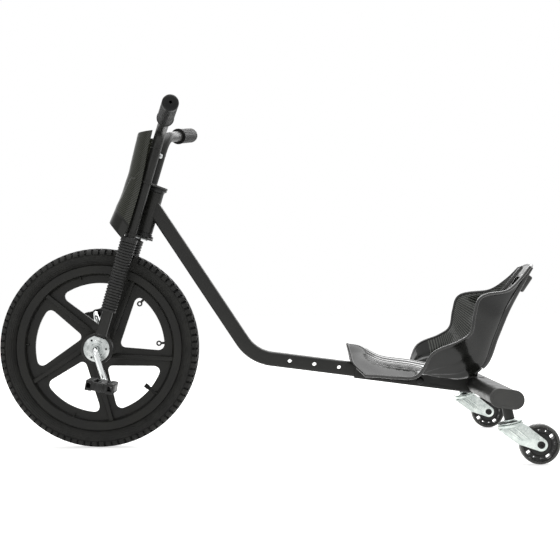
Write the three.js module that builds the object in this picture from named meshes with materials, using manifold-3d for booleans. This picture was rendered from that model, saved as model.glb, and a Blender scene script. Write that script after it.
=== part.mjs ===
// Drift trike: a pedalled front wheel in a fork that is also the handlebar, an
// adjustable bent frame tube, a bucket seat and two raked casters at the back.
// Millimetres, +Z up, +X to the rear, +Y to the rider's right. The front wheel's
// centre is above x = 0 until the last lines, which centre the part's box on the origin.
import * as THREE from "three";
import { mergeVertices } from "three/addons/utils/BufferGeometryUtils.js";
import Module from "manifold-3d";

const wasm = await Module();
wasm.setup();

const degrees = THREE.MathUtils.degToRad;

// Clearances and facets
const GAP = 0.3; // between pieces that touch on the real trike
const OVERRUN = 6; // how far a cutter stands past what it cuts
const WELD = 0.0001; // points nearer than this are one point
const WHEEL_SIDES = 32;
const TREAD_SIDES = 44;
const TUBE_SIDES = 16; // of the inner tube
const ROUND_SIDES = 16;
const ROD_SIDES = 12;
const BAR_SIDES = 10; // of bent rods and tubes
const BEND_STEPS = 4;
const BOLT_SIDES = 8;
const NUT_SIDES = 6;
const BELT_STEPS = 10; // round each disc of a belt
const CURVE_STEPS = 5; // of the round ends of flat outlines
const CORNER_STEPS = 3;
const TUBE_CORNER_STEPS = 2;
const TUBE_INSIDE_STEPS = 1;

// Stance
const WHEEL_RADIUS = 205;
const HEAD_TILT = degrees(16.8);
const AXLE_BACK = 786.5; // rear axle tube behind the front wheel's centre
const AXLE_HEIGHT = 122;
const RUN_SLOPE = degrees(7.6); // the lower frame run falls to the rear

// Front tyre and its inner tube
const TYRE_WIDTH = 54;
const TYRE_BEAD = 4;
const TREAD_DEPTH = 2.6;
const TUBE_HALF_HEIGHT = 14.6;
const TUBE_HALF_WIDTH = 15.5;
const TUBE_POINTS = 6; // round its section
const INNER_TUBE_WALL = 2;
const VALVE_RADIUS = 3.6;
const VALVE_CAP_RADIUS = 4.7;
const VALVE_CAP_LENGTH = 9;
const VALVE_REACH = 13; // of the stem past the rim, towards the hub
const VALVE_ANGLE = degrees(-40);
const TYRE_OUTSIDE_SHARES = [[0.7, 0.08], [1, 0.42], [0.88, 0.8], [0.3, 1]];
const TYRE_INSIDE_SHARES = [[0.82, 0.38], [0.3, 0.85]];
const TREAD_FROM_SHARE = 0.7; // tread blocks start at this height of the tyre
const TREAD_RIB_SHARE = 0.5; // and end at the plain rib along its middle
const SHOULDER_SHARE = 0.8; // points this far across are on the outside

// Five-spoke moulded wheel
const RIM_RADIUS = 170;
const RIM_WIDTH = 35;
const RIM_FLANGE = 3;
const BEAD_SEAT_RADIUS = 160;
const WELL_RADIUS = 156;
const RIM_STEP_RADIUS = 150;
const RIM_STEP_RUN = 4;
const WINDOW_RADIUS = 133.5;
const WEB = 7;
const SPOKES = 5;
const SPOKE_ANGLE = degrees(-3);
const SPOKE_OFFSET = 16; // every spoke passes this far beside the axle
const SPOKE_HUB_WIDTH = 42;
const SPOKE_RIM_WIDTH = 32;
const SPOKE_RIB = 24; // across both faces
const SPOKE_RIB_WIDTH = 10;
const WINDOW_INNER_FILLET = 10;
const WINDOW_OUTER_FILLET = 13;
const HUB_RADIUS = 27;
const HUB_LENGTH = 62;
const HUB_FLARE_RADIUS = 44;
const HUB_FLARE = 15; // from the middle plane to its top
const EYELET_RADIUS = 5.7;
const EYELET_HOLE = 2.7;
const EYELET_THICKNESS = 4;
const EYELET_STALK = 5;
const EYELET_INSET = 11.5; // its hole from the window's outer edge
const EYELET_ANGLES = [degrees(47.6), degrees(3.8)];

// Crank axle and pedals
const ROD_RADIUS = 6;
const ROD_BEND = 13;
const CRANK_RADIUS = 71;
const CRANK_ANGLE = degrees(18.3); // of the left crank, behind straight down
const CRANK_OUT = 82; // crank arms from the middle plane
const PEDAL_IN = 100;
const PEDAL_WIDTH = 76;
const PEDAL_LENGTH = 54;
const PEDAL_HEIGHT = 20;
const PEDAL_BARREL = 10;
const PEDAL_TREAD = 13;
const PEDAL_BRIDGE = 9;
const PEDAL_CORNER = 5;
const PEDAL_SLOT_WIDTH = 8;
const PEDAL_SLOT_HEIGHT = 9;
const PEDAL_PLAY = 0.4;
const PEDAL_TILTS = { left: degrees(11), right: degrees(-20) };
const CAP_RADIUS = 9;
const CAP_WALL = 2.5;
const ROD_STAND = 3.5; // rod past the pedal, inside its cap

// Fork, with +Z along the legs and its origin at the wheel's centre
const STEER_BACK = 19; // steering axis behind the wheel's centre
const LEG_BACK = 0.8;
const LEG_SPREAD = 52;
const LEG_RADIUS = 11.1;
const LEG_WALL = 1.6;
const CROWN_LOW = 243;
const CROWN_HIGH = 352;
const CROWN_THICKNESS = 4;
const CROWN_END = 14.5;
const CROWN_REAR = 22.5;
const STEERER_RADIUS = 12.7;
const STEERER_WALL = 2.2;
const HOUSING_RADIUS = 32;
const HOUSING_IN = 32;
const HOUSING_WIDTH = 20;
const BEARING_RADIUS = 16;
const BEARING_WIDTH = 10;
const COVER_RADIUS = 26.5;
const COVER_THICKNESS = 4;
const COVER_SCREW_CIRCLE = 19.7;
const COVER_SCREW_HOLE = 2.2;
const COVER_SCREW_ANGLES = [degrees(135), degrees(16), degrees(256)];
const GAITER_FOOT = 80;
const GAITER_LENGTH = 156;
const GAITER_RIBS = 27;
const GAITER_TOP_RADIUS = 17.4;
const GAITER_FOOT_RADIUS = 15.8;
const GAITER_VALLEY = 1.8;
const GAITER_POINTS = 8;
const GAITER_RIBS_PER_BORE_RING = 9;

// Handlebar halves and grips
const BAR_SPLIT = 424;
const BAR_CORNER = 460;
const BAR_BEND = 36;
const BAR_WALL = 2.5;
const BAR_END_BACK = 29.4;
const BAR_END_SIDE = 265;
const BAR_END_UP = 499;
const SPIGOT_LENGTH = 52;
const SPIGOT_WALL = 1.6;
const BAR_BOLT_UP = 418;
const BAR_BOLT_RADIUS = 3;
const BAR_BOLT_HEAD = 6.5;
const BAR_BOLT_HEAD_HEIGHT = 4.5;
const GRIP_LENGTH = 116;
const GRIP_RADIUS = 16.2;
const GRIP_FLANGE_RADIUS = 17.2;
const GRIP_FLANGE = 4;
const GRIP_END_WALL = 4;
const GRIP_END_HOLE = 3;

// Front panel: heights of its middle and of its rear edges, and how far it wraps
const PANEL_WALL = 2.5;
const PANEL_LOW = 229;
const PANEL_HEIGHT = 223;
const PANEL_DEPTH = 53;
const PANEL_BACK = 0.5;
const PANEL_WIDTH = 140;
const PANEL_TAB = 44; // width of the tab that rests on the upper crown
// each station: middle height, edge height, front, rear edge, half width
const PANEL_STATION_SHARES = [
  [0.12, 0, 1, 0.26, 1.1],
  [0.27, 0.14, 0.93, 0.1, 1.06],
  [0.39, 0.31, 0.87, 0.1, 1.02],
  [0.52, 0.49, 0.855, 0.11, 1],
  [0.6, 0.59, 0.84, 0.14, 1],
  [0.68, 0.69, 0.86, 0.18, 1],
  [0.82, 0.83, 0.89, 0.24, 1],
  [0.96, 1.02, 0.92, 0.29, 1],
];
const PANEL_SECTION_SHARES = [[0, 0], [0.05, 0.4], [0.2, 0.72], [0.6, 0.93], [1, 1]];

// Head tube and main tube
const HEAD_RADIUS = 17.7;
const HEAD_WALL = 2.6;
const CUP_HEIGHT = 9;
const CUP_LIP = 22;
const CUP_SKIRT = 8;
const STEERER_PLAY = 0.6;
const MAIN_JOIN_SHARE = 0.65; // of the way up from the lower crown to the upper
const MAIN_TUBE = 29;
const MAIN_WALL = 2;
const MAIN_CORNER = 5;
const MAIN_BEND = 85;
const RUN_LENGTH = 475; // rear axle to the corner of the bend
const MAIN_END = 165; // rear end of the main tube, ahead of the rear axle
const HOLE_PITCH = 51.4;
const HOLE_RADIUS = 4.4;
const HOLES = 5;
const LAST_HOLE = 192.4; // ahead of the rear axle
const LOCK_HOLES = [0, 1]; // holes counted from the last that hold a lock bolt

// Rear sleeve and its bolts
const SLEEVE_LENGTH = 262; // its front end ahead of the rear axle
const SLEEVE_WALL = 2.7;
const SLEEVE_CORNER = 4.5;
const LOCK_RADIUS = 4;
const LOCK_HEAD = 7.5;
const LOCK_HEAD_HEIGHT = 4.5;
const WELD_NUT_RADIUS = 8;
const WELD_NUT_HEIGHT = 6;

// Rear axle tube and caps
const AXLE_LENGTH = 600; // the casters stand under its ends
const AXLE_TUBE_LONG = 60;
const AXLE_TUBE_HIGH = 32;
const AXLE_WALL = 2;
const CAP_OVERHANG = 2;
const AXLE_CAP = 5;
const AXLE_CAP_BEVEL = 1.5;
const AXLE_CAP_PLUG = 12;

// Casters, with +Z up the raked swivel axis and its origin at the stem's foot
const CASTER_INSET = 15; // from the axle tube's end
const CASTER_BACK = 793.7;
const CASTER_HEIGHT = 84.1;
const CASTER_RAKE = degrees(13);
const STEM_RADIUS = 9.5;
const STEM_WALL = 2.2;
const STEM_LENGTH = 40;
const RACE_RADIUS = 23.9;
const RACE_NECK = 11;
const RACE_NECK_HEIGHT = 3;
const RACE_HEIGHT = 3.5;
const FORK_HEAD_HEIGHT = 5.5;
const KINGPIN_RADIUS = 5;
const KINGPIN_HEAD = 9;
const KINGPIN_HEAD_HEIGHT = 3;
const CASTER_WHEEL_RADIUS = 37.5;
const CASTER_WHEEL_WIDTH = 24;
const CASTER_TRAIL = 42.9;
const CASTER_DROP = 57.7;
const CASTER_SIDE_GAP = 2;
const CASTER_SHEET = 2.5;
const CASTER_END = 12.5;
const CASTER_FRONT_SHARE = 0.8; // its front corner, of the way down to the bolt
const CASTER_CORE_RADIUS = 31;
const CASTER_CORE_BOSS = 12;
const CASTER_CORE_DISH = 3;
const CASTER_WINDOW_CIRCLE = 26;
const CASTER_BIG_WINDOW = [8, 9];
const CASTER_SMALL_WINDOW = [3, 6];
const CASTER_WINDOWS = 12;
const CASTER_WINDOWS_PER_BIG = 3; // one in so many is a big one
const CASTER_WINDOW_ANGLE = degrees(-55.7);
const CASTER_AXLE_RADIUS = 4;
const CASTER_AXLE_HEAD = 6.8;
const CASTER_AXLE_HEAD_HEIGHT = 3.5;
const CASTER_BEAD = 1;
const CASTER_BEAD_WIDTH = 4;
const CASTER_BEAD_BACKS = [-9, 3];
const CASTER_BEAD_SHARE = 0.75; // of the way down to the bolt

// Bucket seat, placed from the rear axle tube
const SEAT_LENGTH = 382;
const SEAT_HEIGHT = 226;
const SEAT_WIDTH = 300;
const SEAT_FRONT = 275.4; // its front peak ahead of the rear axle
const SEAT_UP = 23; // its lowest edge above the rear axle
const SEAT_WALL = 4;
const SEAT_LIP = 3; // added to the wall at the rim
const SEAT_BEAD = 4; // added to the wall along the rear corner
const SEAT_STEPS = 2; // rings from one station to the next
const SEAT_ROW_POINTS = 13;
const CORNER_COLUMN = 2; // the ring point that lies on the floor corner
const FLOOR_SHARE = 0.55; // a ring's floor point, from its middle to its corner
// each station: middle, floor corner and rim, as shares of length, half width and height
const SEAT_STATION_SHARES = [
  { middle: [0, 0.29], corner: [0.024, 0.293, 0.124], rim: [0.084, 0.573, 0.027] },
  { middle: [0.071, 0.27], corner: [0.089, 0.333, 0.146], rim: [0.157, 0.633, 0.022] },
  { middle: [0.175, 0.181], corner: [0.188, 0.427, 0.111], rim: [0.246, 0.693, 0.013] },
  { middle: [0.325, 0.142], corner: [0.33, 0.56, 0.084], rim: [0.34, 0.753, 0.022] },
  { middle: [0.455, 0.102], corner: [0.45, 0.747, 0.049], rim: [0.424, 0.96, 0.243] },
  { middle: [0.594, 0.066], corner: [0.586, 0.813, 0.04], rim: [0.542, 0.987, 0.345] },
  { middle: [0.694, 0.146], corner: [0.686, 0.8, 0.128], rim: [0.605, 0.987, 0.42] },
  { middle: [0.759, 0.372], corner: [0.749, 0.773, 0.367], rim: [0.628, 0.987, 0.575] },
  { middle: [0.822, 0.588], corner: [0.806, 0.72, 0.58], rim: [0.665, 0.96, 0.717] },
  { middle: [0.895, 0.779], corner: [0.885, 0.467, 0.77], rim: [0.822, 0.653, 0.779] },
  { middle: [0.948, 0.912], corner: [0.94, 0.333, 0.903], rim: [0.906, 0.467, 0.881] },
  { middle: [0.984, 1.004], corner: [0.979, 0.253, 0.996], rim: [0.958, 0.387, 0.978] },
];
const SEAT_FOOT_LENGTH = 16;
const SEAT_FOOT_WIDTH = 24;
const SEAT_FOOT_HEIGHT = 36; // before its top is trimmed to the seat
const SEAT_FOOT_SHARE = 0.674; // of the way back along the seat
const BACK_SLOT_WIDTH = 60;
const BACK_SLOT_HEIGHT = 20;
const BACK_SLOT_SHARE = 0.865; // of the way along the seat's middle line
const BACK_HANDLE_WIDTH = 100;
const BACK_HANDLE_DEPTH = 9;
const BACK_HANDLE_HEIGHT = 40;
const BACK_HANDLE_CORNER = 6;

// Seat bracket
const BRACKET_FRONT = 149; // its front edge ahead of the rear axle
const BRACKET_LENGTH = 43;
const BRACKET_SHEET = 3;
const BRACKET_WIDTH = 144;
const BRACKET_CHEEK = 30;
const SEAT_BOLT_OUT = 58;
const SEAT_BOLT_RADIUS = 3;
const SEAT_BOLT_HEAD = 7;
const SEAT_BOLT_HEAD_HEIGHT = 3;
const SEAT_NUT_RADIUS = 5.8;
const SEAT_NUT_HEIGHT = 5;
const PAD_RADIUS = 11.5;
const PAD_RECESS = 8.5;
const BRACKET_BOLT_AHEAD = 127.6;
const BRACKET_BOLT_DROP = 5;

// Finishes
function finish(color, roughness, metalness) {
  return new THREE.MeshStandardMaterial({ color, roughness, metalness });
}
const FINISH = {
  frame: finish(0x2a2a2a, 0.45, 0.2),
  glossPlastic: finish(0x3a3b3a, 0.2, 0),
  blackPlastic: finish(0x1e1e1e, 0.55, 0),
  wheelPlastic: finish(0x242424, 0.5, 0),
  tyre: finish(0x1c1c1b, 0.85, 0),
  rubber: finish(0x262626, 0.7, 0),
  chrome: finish(0xd8dcdc, 0.12, 1),
  zinc: finish(0xc3cac6, 0.3, 1),
  steel: finish(0xb4b6b8, 0.35, 1),
  caster: finish(0x2c2c2a, 0.3, 0),
};

// Geometry helpers

function sixVolumes(geometry) {
  const position = geometry.getAttribute("position");
  const index = geometry.index.array;
  const [a, b, c] = [new THREE.Vector3(), new THREE.Vector3(), new THREE.Vector3()];
  let sum = 0;
  for (let i = 0; i < index.length; i += 3) {
    a.fromBufferAttribute(position, index[i]);
    b.fromBufferAttribute(position, index[i + 1]);
    c.fromBufferAttribute(position, index[i + 2]);
    sum += a.dot(b.cross(c));
  }
  return sum;
}

// The same surface with shared points, no collapsed faces and its faces turned out.
function closed(geometry) {
  const bare = new THREE.BufferGeometry();
  const loose = geometry.index ? geometry.toNonIndexed() : geometry;
  bare.setAttribute("position", loose.getAttribute("position"));
  const welded = mergeVertices(bare, WELD);
  const kept = [];
  const index = welded.index.array;
  for (let i = 0; i < index.length; i += 3) {
    const [a, b, c] = [index[i], index[i + 1], index[i + 2]];
    if (a !== b && b !== c && c !== a) kept.push(a, b, c);
  }
  welded.setIndex(kept);
  if (sixVolumes(welded) < 0) {
    for (let i = 0; i < kept.length; i += 3) [kept[i + 1], kept[i + 2]] = [kept[i + 2], kept[i + 1]];
    welded.setIndex(kept);
  }
  return welded;
}

function solidOf(geometry) {
  const tidy = closed(geometry);
  return new wasm.Manifold(
    new wasm.Mesh({
      numProp: 3,
      vertProperties: new Float32Array(tidy.getAttribute("position").array),
      triVerts: new Uint32Array(tidy.index.array),
    }),
  );
}

function geometryOf(solid) {
  const mesh = solid.getMesh();
  const made = new THREE.BufferGeometry();
  made.setAttribute("position", new THREE.BufferAttribute(mesh.vertProperties, mesh.numProp));
  made.setIndex(new THREE.BufferAttribute(mesh.triVerts, 1));
  return made;
}

function join(first, ...others) {
  return geometryOf(others.reduce((sum, other) => sum.add(solidOf(other)), solidOf(first)));
}

function cut(body, ...cutters) {
  return geometryOf(cutters.reduce((rest, cutter) => rest.subtract(solidOf(cutter)), solidOf(body)));
}

// The biggest body of a cut, without the slivers that stand beyond the cutter.
function largest(geometry) {
  const parts = solidOf(geometry).decompose();
  parts.sort((a, b) => b.volume() - a.volume());
  return geometryOf(parts[0]);
}

const vector = (x, y, z) => new THREE.Vector3(x, y, z);
const flat = (x, y) => new THREE.Vector2(x, y);

// A turned piece about Y. A profile that leaves the axis open is closed on itself.
function turned(profile, sides) {
  const points = profile.map(([radius, along]) => flat(radius, along));
  const onAxis = profile[0][0] === 0 && profile[profile.length - 1][0] === 0;
  if (!onAxis) points.push(points[0].clone());
  return new THREE.LatheGeometry(points, sides);
}

// The same piece with its axis up, or along X.
const upright = (geometry) => geometry.rotateX(Math.PI / 2);
const lengthwise = (geometry) => geometry.rotateZ(-Math.PI / 2);

function rod(radius, low, high, sides) {
  return turned([[0, low], [radius, low], [radius, high], [0, high]], sides);
}

function pipe(outer, inner, low, high, sides) {
  return turned([[inner, low], [outer, low], [outer, high], [inner, high]], sides);
}

// A flat outline given thickness along Z, half of it on each side.
function plate(outline, thickness, holes = []) {
  const shape = outline instanceof THREE.Shape ? outline : new THREE.Shape(outline);
  shape.holes.push(...holes);
  const options = { depth: thickness, bevelEnabled: false, curveSegments: CURVE_STEPS };
  const made = new THREE.ExtrudeGeometry(shape, options);
  return made.translate(0, 0, -thickness / 2);
}

// A plate drawn in the side view, x to the rear and y up, with its thickness along Y.
const sideways = (geometry) => geometry.rotateX(Math.PI / 2);

function roundedBox(width, height, radius, steps = CORNER_STEPS) {
  const points = filleted(
    [
      flat(-width / 2, -height / 2),
      flat(width / 2, -height / 2),
      flat(width / 2, height / 2),
      flat(-width / 2, height / 2),
    ],
    [radius, radius, radius, radius],
    steps,
  );
  return new THREE.Shape(points);
}

// How much of a side a corner's rounding may use, which it shares with a rounded neighbour.
function roomOn(side, neighbourRadius) {
  return neighbourRadius > 0 ? side.length() / 2 : side.length();
}

// A polygon with each corner rounded to its radius, or to less where its sides are short.
function filleted(points, radii, steps = CORNER_STEPS) {
  const out = [];
  const count = points.length;
  points.forEach((point, i) => {
    const last = (i + count - 1) % count;
    const next = (i + 1) % count;
    const before = points[last].clone().sub(point);
    const after = points[next].clone().sub(point);
    const room = Math.min(roomOn(before, radii[last]), roomOn(after, radii[next]));
    const half = before.angleTo(after) / 2;
    const run = Math.min(radii[i] / Math.tan(half), room);
    if (run < WELD) {
      out.push(point.clone());
      return;
    }
    const from = point.clone().addScaledVector(before.normalize(), run);
    const inward = before.clone().add(after.normalize()).normalize();
    const centre = point.clone().addScaledVector(inward, run / Math.cos(half));
    const turn = Math.sign(after.cross(before)) * (Math.PI - 2 * half);
    for (let step = 0; step <= steps; step++) {
      out.push(from.clone().rotateAround(centre, (turn * step) / steps));
    }
  });
  return out;
}

// The outline that a taut belt makes round some discs.
function belt(discs) {
  const points = [];
  discs.forEach(({ x, y, radius }) => {
    for (let i = 0; i < BELT_STEPS; i++) {
      const turn = (2 * Math.PI * i) / BELT_STEPS;
      points.push(flat(x + radius * Math.cos(turn), y + radius * Math.sin(turn)));
    }
  });
  points.sort((a, b) => a.x - b.x || a.y - b.y);
  const half = (list) => {
    const chain = [];
    list.forEach((point) => {
      while (chain.length > 1 && turnAt(...chain.slice(-2), point) <= 0) chain.pop();
      chain.push(point);
    });
    return chain.slice(0, -1);
  };
  return [...half(points), ...half([...points].reverse())];
}

function turnAt(a, b, c) {
  return (b.x - a.x) * (c.y - a.y) - (b.y - a.y) * (c.x - a.x);
}

// A round hole whose flats, not its corners, are at the radius.
function discHole(x, y, radius) {
  const corners = roundSection(radius / Math.cos(Math.PI / ROUND_SIDES), ROUND_SIDES);
  return new THREE.Path(corners.map((point) => flat(x + point.x, y + point.y)));
}

function obround(long, high) {
  const shape = new THREE.Shape();
  const run = (long - high) / 2;
  shape.absarc(run, 0, high / 2, -Math.PI / 2, Math.PI / 2);
  shape.absarc(-run, 0, high / 2, Math.PI / 2, Math.PI * 1.5);
  return shape;
}

// The centre line of a bent tube: straight runs joined by round bends, with stops only at the bends.
class BentLine extends THREE.Curve {
  constructor(corners, radius, bendSteps) {
    super();
    this.stops = [corners[0]];
    for (let i = 1; i < corners.length - 1; i++) {
      const before = corners[i - 1].clone().sub(corners[i]).normalize();
      const after = corners[i + 1].clone().sub(corners[i]).normalize();
      const half = before.angleTo(after) / 2;
      const run = radius / Math.tan(half);
      const inward = before.clone().add(after).normalize();
      const centre = corners[i].clone().addScaledVector(inward, radius / Math.sin(half));
      const start = corners[i].clone().addScaledVector(before, run).sub(centre);
      const end = corners[i].clone().addScaledVector(after, run).sub(centre);
      const axis = start.clone().cross(end).normalize();
      for (let step = 0; step <= bendSteps; step++) {
        const turn = ((Math.PI - 2 * half) * step) / bendSteps;
        this.stops.push(start.clone().applyAxisAngle(axis, turn).add(centre));
      }
    }
    this.stops.push(corners[corners.length - 1]);
  }

  getPoint(t) {
    return this.stops[Math.round(t * (this.stops.length - 1))].clone();
  }

  getSpacedPoints() {
    return this.stops.map((stop) => stop.clone());
  }

  getTangentAt(t) {
    const last = this.stops.length - 1;
    const at = Math.round(t * last);
    const here = this.stops[at];
    const ahead = at < last ? this.stops[at + 1].clone().sub(here).normalize() : vector(0, 0, 0);
    const behind = at > 0 ? here.clone().sub(this.stops[at - 1]).normalize() : vector(0, 0, 0);
    return ahead.add(behind).normalize();
  }
}

function swept(line, shape) {
  return new THREE.ExtrudeGeometry(shape, { steps: line.stops.length - 1, extrudePath: line });
}

function roundSection(radius, sides) {
  const points = [];
  for (let i = 0; i < sides; i++) {
    const turn = (2 * Math.PI * i) / sides;
    points.push(flat(radius * Math.cos(turn), radius * Math.sin(turn)));
  }
  return points;
}

function tubeSection(radius, wall, sides) {
  const shape = new THREE.Shape(roundSection(radius, sides));
  shape.holes.push(new THREE.Path(roundSection(radius - wall, sides).reverse()));
  return shape;
}

// A sheet over a grid of points, thickened on the side that its normals point away from.
function shell(grid, wallAt) {
  const rows = grid.length;
  const columns = grid[0].length;
  const clampRow = (i) => THREE.MathUtils.clamp(i, 0, rows - 1);
  const clampColumn = (j) => THREE.MathUtils.clamp(j, 0, columns - 1);
  const back = grid.map((row, i) =>
    row.map((point, j) => {
      const along = grid[clampRow(i + 1)][j].clone().sub(grid[clampRow(i - 1)][j]);
      const across = row[clampColumn(j + 1)].clone().sub(row[clampColumn(j - 1)]);
      return point.clone().addScaledVector(along.cross(across).normalize(), wallAt(i, j));
    }),
  );
  const points = [...grid.flat(), ...back.flat()];
  const front = (i, j) => i * columns + j;
  const rear = (i, j) => rows * columns + front(i, j);
  const index = [];
  const quad = (a, b, c, d) => index.push(a, b, c, a, c, d);
  for (let i = 0; i < rows - 1; i++) {
    for (let j = 0; j < columns - 1; j++) {
      quad(front(i, j), front(i + 1, j), front(i + 1, j + 1), front(i, j + 1));
      quad(rear(i, j), rear(i, j + 1), rear(i + 1, j + 1), rear(i + 1, j));
    }
    quad(front(i, 0), rear(i, 0), rear(i + 1, 0), front(i + 1, 0));
    const last = columns - 1;
    quad(front(i + 1, last), rear(i + 1, last), rear(i, last), front(i, last));
  }
  for (let j = 0; j < columns - 1; j++) {
    quad(front(0, j + 1), rear(0, j + 1), rear(0, j), front(0, j));
    const last = rows - 1;
    quad(front(last, j), rear(last, j), rear(last, j + 1), front(last, j + 1));
  }
  const made = new THREE.BufferGeometry().setFromPoints(points);
  made.setIndex(index);
  return made;
}

function piece(parent, name, geometry, material) {
  const mesh = new THREE.Mesh(closed(geometry), material);
  mesh.name = name;
  parent.add(mesh);
  return mesh;
}

const SIDES = [
  { name: "left", sign: -1 },
  { name: "right", sign: 1 },
];

// A piece modelled for the right side, or its mirror image for the left.
function handed(geometry, side) {
  return side.sign > 0 ? geometry : closed(geometry).scale(1, -1, 1);
}

// Front tyre, inner tube and valve, turned about Y

const beadOut = RIM_WIDTH / 2 - RIM_FLANGE - GAP;
const beadIn = beadOut - TYRE_BEAD;

function tyrePoint([across, up]) {
  return [RIM_RADIUS + up * (WHEEL_RADIUS - RIM_RADIUS), (across * TYRE_WIDTH) / 2];
}

const otherSide = ([radius, along]) => [radius, -along];
const flipped = (profile) => profile.map(otherSide).reverse();

function tyreGeometry() {
  const facet = Math.cos(Math.PI / TREAD_SIDES);
  const bead = (BEAD_SEAT_RADIUS + GAP) / facet;
  const flange = (RIM_RADIUS + GAP) / facet;
  const outside = [[bead, beadOut], [flange, beadOut], ...TYRE_OUTSIDE_SHARES.map(tyrePoint)];
  const hollow = [[bead, beadIn], [RIM_RADIUS, beadIn], ...TYRE_INSIDE_SHARES.map(tyrePoint)];
  const inside = hollow.map(otherSide);
  return withTread(turned([...outside, ...flipped(outside), ...inside, ...flipped(inside)], TREAD_SIDES));
}

// Lowers every other column of the shoulders, one side half a pitch ahead of the other.
function withTread(geometry) {
  const position = geometry.getAttribute("position");
  const treadFrom = RIM_RADIUS + TREAD_FROM_SHARE * (WHEEL_RADIUS - RIM_RADIUS);
  const rib = (TREAD_RIB_SHARE * TYRE_WIDTH) / 2;
  for (let i = 0; i < position.count; i++) {
    const point = vector(0, 0, 0).fromBufferAttribute(position, i);
    const radius = Math.hypot(point.x, point.z);
    const outer = radius > crownInside || Math.abs(point.y) > (SHOULDER_SHARE * TYRE_WIDTH) / 2;
    if (radius < treadFrom - WELD || !outer || Math.abs(point.y) < rib) continue;
    const column = Math.round((Math.atan2(point.x, point.z) / (2 * Math.PI)) * TREAD_SIDES);
    const low = (Math.abs(column) + (point.y > 0 ? 1 : 0)) % 2 === 0;
    const scale = low ? (radius - TREAD_DEPTH) / radius : 1;
    position.setXYZ(i, point.x * scale, point.y, point.z * scale);
  }
  return geometry;
}

// A hollow ring that lies against the tyre's crown, with a hole for its valve.
function innerTubeGeometry() {
  const loop = (wall) =>
    roundSection(1, TUBE_POINTS).map((point) => [
      tubeMiddle + (TUBE_HALF_HEIGHT - wall) * point.x,
      (TUBE_HALF_WIDTH - wall) * point.y,
    ]);
  const foot = tubeMiddle - TUBE_HALF_HEIGHT;
  const hole = rod(VALVE_RADIUS + GAP, foot - OVERRUN, foot + OVERRUN, BOLT_SIDES);
  return cut(turned(loop(0), TUBE_SIDES), turned(loop(INNER_TUBE_WALL), TUBE_SIDES), valveAt(hole));
}

const crownInside = tyrePoint(TYRE_INSIDE_SHARES[TYRE_INSIDE_SHARES.length - 1])[0];
const tubeMiddle = crownInside * Math.cos(Math.PI / TREAD_SIDES) - GAP - TUBE_HALF_HEIGHT;

// Turns a piece along Y to point out from the wheel's centre at the valve.
const valveAt = (geometry) => lengthwise(geometry).rotateY(-VALVE_ANGLE);

function valveGeometry() {
  const tip = WINDOW_RADIUS - VALVE_REACH;
  const capTop = tip + VALVE_CAP_LENGTH;
  const top = tubeMiddle - TUBE_HALF_HEIGHT + INNER_TUBE_WALL;
  const profile = [
    [0, tip],
    [VALVE_CAP_RADIUS, tip],
    [VALVE_CAP_RADIUS, capTop],
    [VALVE_RADIUS, capTop],
    [VALVE_RADIUS, top],
    [0, top],
  ];
  return valveAt(turned(profile, BOLT_SIDES));
}

// Five-spoke wheel

// A point on the edge of a spoke: how far out, and on which side of its middle line.
function spokeEdge(angle, out, side) {
  const half = THREE.MathUtils.lerp(SPOKE_HUB_WIDTH, SPOKE_RIM_WIDTH, out / WINDOW_RADIUS) / 2;
  return flat(out, side * half - SPOKE_OFFSET).rotateAround(flat(0, 0), angle);
}

function crossing(a, b, c, d) {
  const share = turnAt(c, d, a) / (turnAt(c, d, a) - turnAt(c, d, b));
  return a.clone().lerp(b, share);
}

function onCircle(a, b, radius) {
  const step = b.clone().sub(a);
  const half = a.dot(step) / step.lengthSq();
  const rest = (a.lengthSq() - radius * radius) / step.lengthSq();
  return a.clone().addScaledVector(step, -half + Math.sqrt(half * half - rest));
}

function windowOutline(angle) {
  const next = angle + (2 * Math.PI) / SPOKES;
  const low = [spokeEdge(angle, 0, 1), spokeEdge(angle, WINDOW_RADIUS, 1)];
  const high = [spokeEdge(next, 0, -1), spokeEdge(next, WINDOW_RADIUS, -1)];
  const inner = crossing(...low, ...high);
  const start = onCircle(...low, WINDOW_RADIUS);
  const end = onCircle(...high, WINDOW_RADIUS);
  const steps = 4;
  const sweep = start.angleTo(end) / steps;
  const arc = [];
  for (let i = 1; i < steps; i++) arc.push(start.clone().rotateAround(flat(0, 0), sweep * i));
  const points = [inner, start, ...arc, end];
  const radii = points.map(() => 0);
  radii[0] = WINDOW_INNER_FILLET;
  radii[1] = WINDOW_OUTER_FILLET;
  radii[points.length - 1] = WINDOW_OUTER_FILLET;
  return filleted(points, radii);
}

function spokeRib(angle) {
  const half = SPOKE_RIB_WIDTH / 2;
  const outer = RIM_STEP_RADIUS + RIM_STEP_RUN / 2;
  const points = [
    flat(HUB_RADIUS, -half - SPOKE_OFFSET),
    flat(outer, -half - SPOKE_OFFSET),
    flat(outer, half - SPOKE_OFFSET),
    flat(HUB_RADIUS, half - SPOKE_OFFSET),
  ];
  return plate(points.map((point) => point.rotateAround(flat(0, 0), angle)), SPOKE_RIB);
}

function eyelet(angle) {
  const reach = WINDOW_RADIUS - EYELET_INSET;
  const hole = discHole(0, 0, EYELET_HOLE);
  const ring = plate(roundSection(EYELET_RADIUS, BOLT_SIDES), EYELET_THICKNESS, [hole]);
  const stalk = new THREE.BoxGeometry(EYELET_INSET, EYELET_STALK, EYELET_THICKNESS);
  ring.translate(reach, 0, 0);
  stalk.translate(reach + (EYELET_HOLE + EYELET_RADIUS) / 2 + EYELET_INSET / 2, 0, 0);
  return join(ring, stalk).rotateZ(angle);
}

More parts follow.
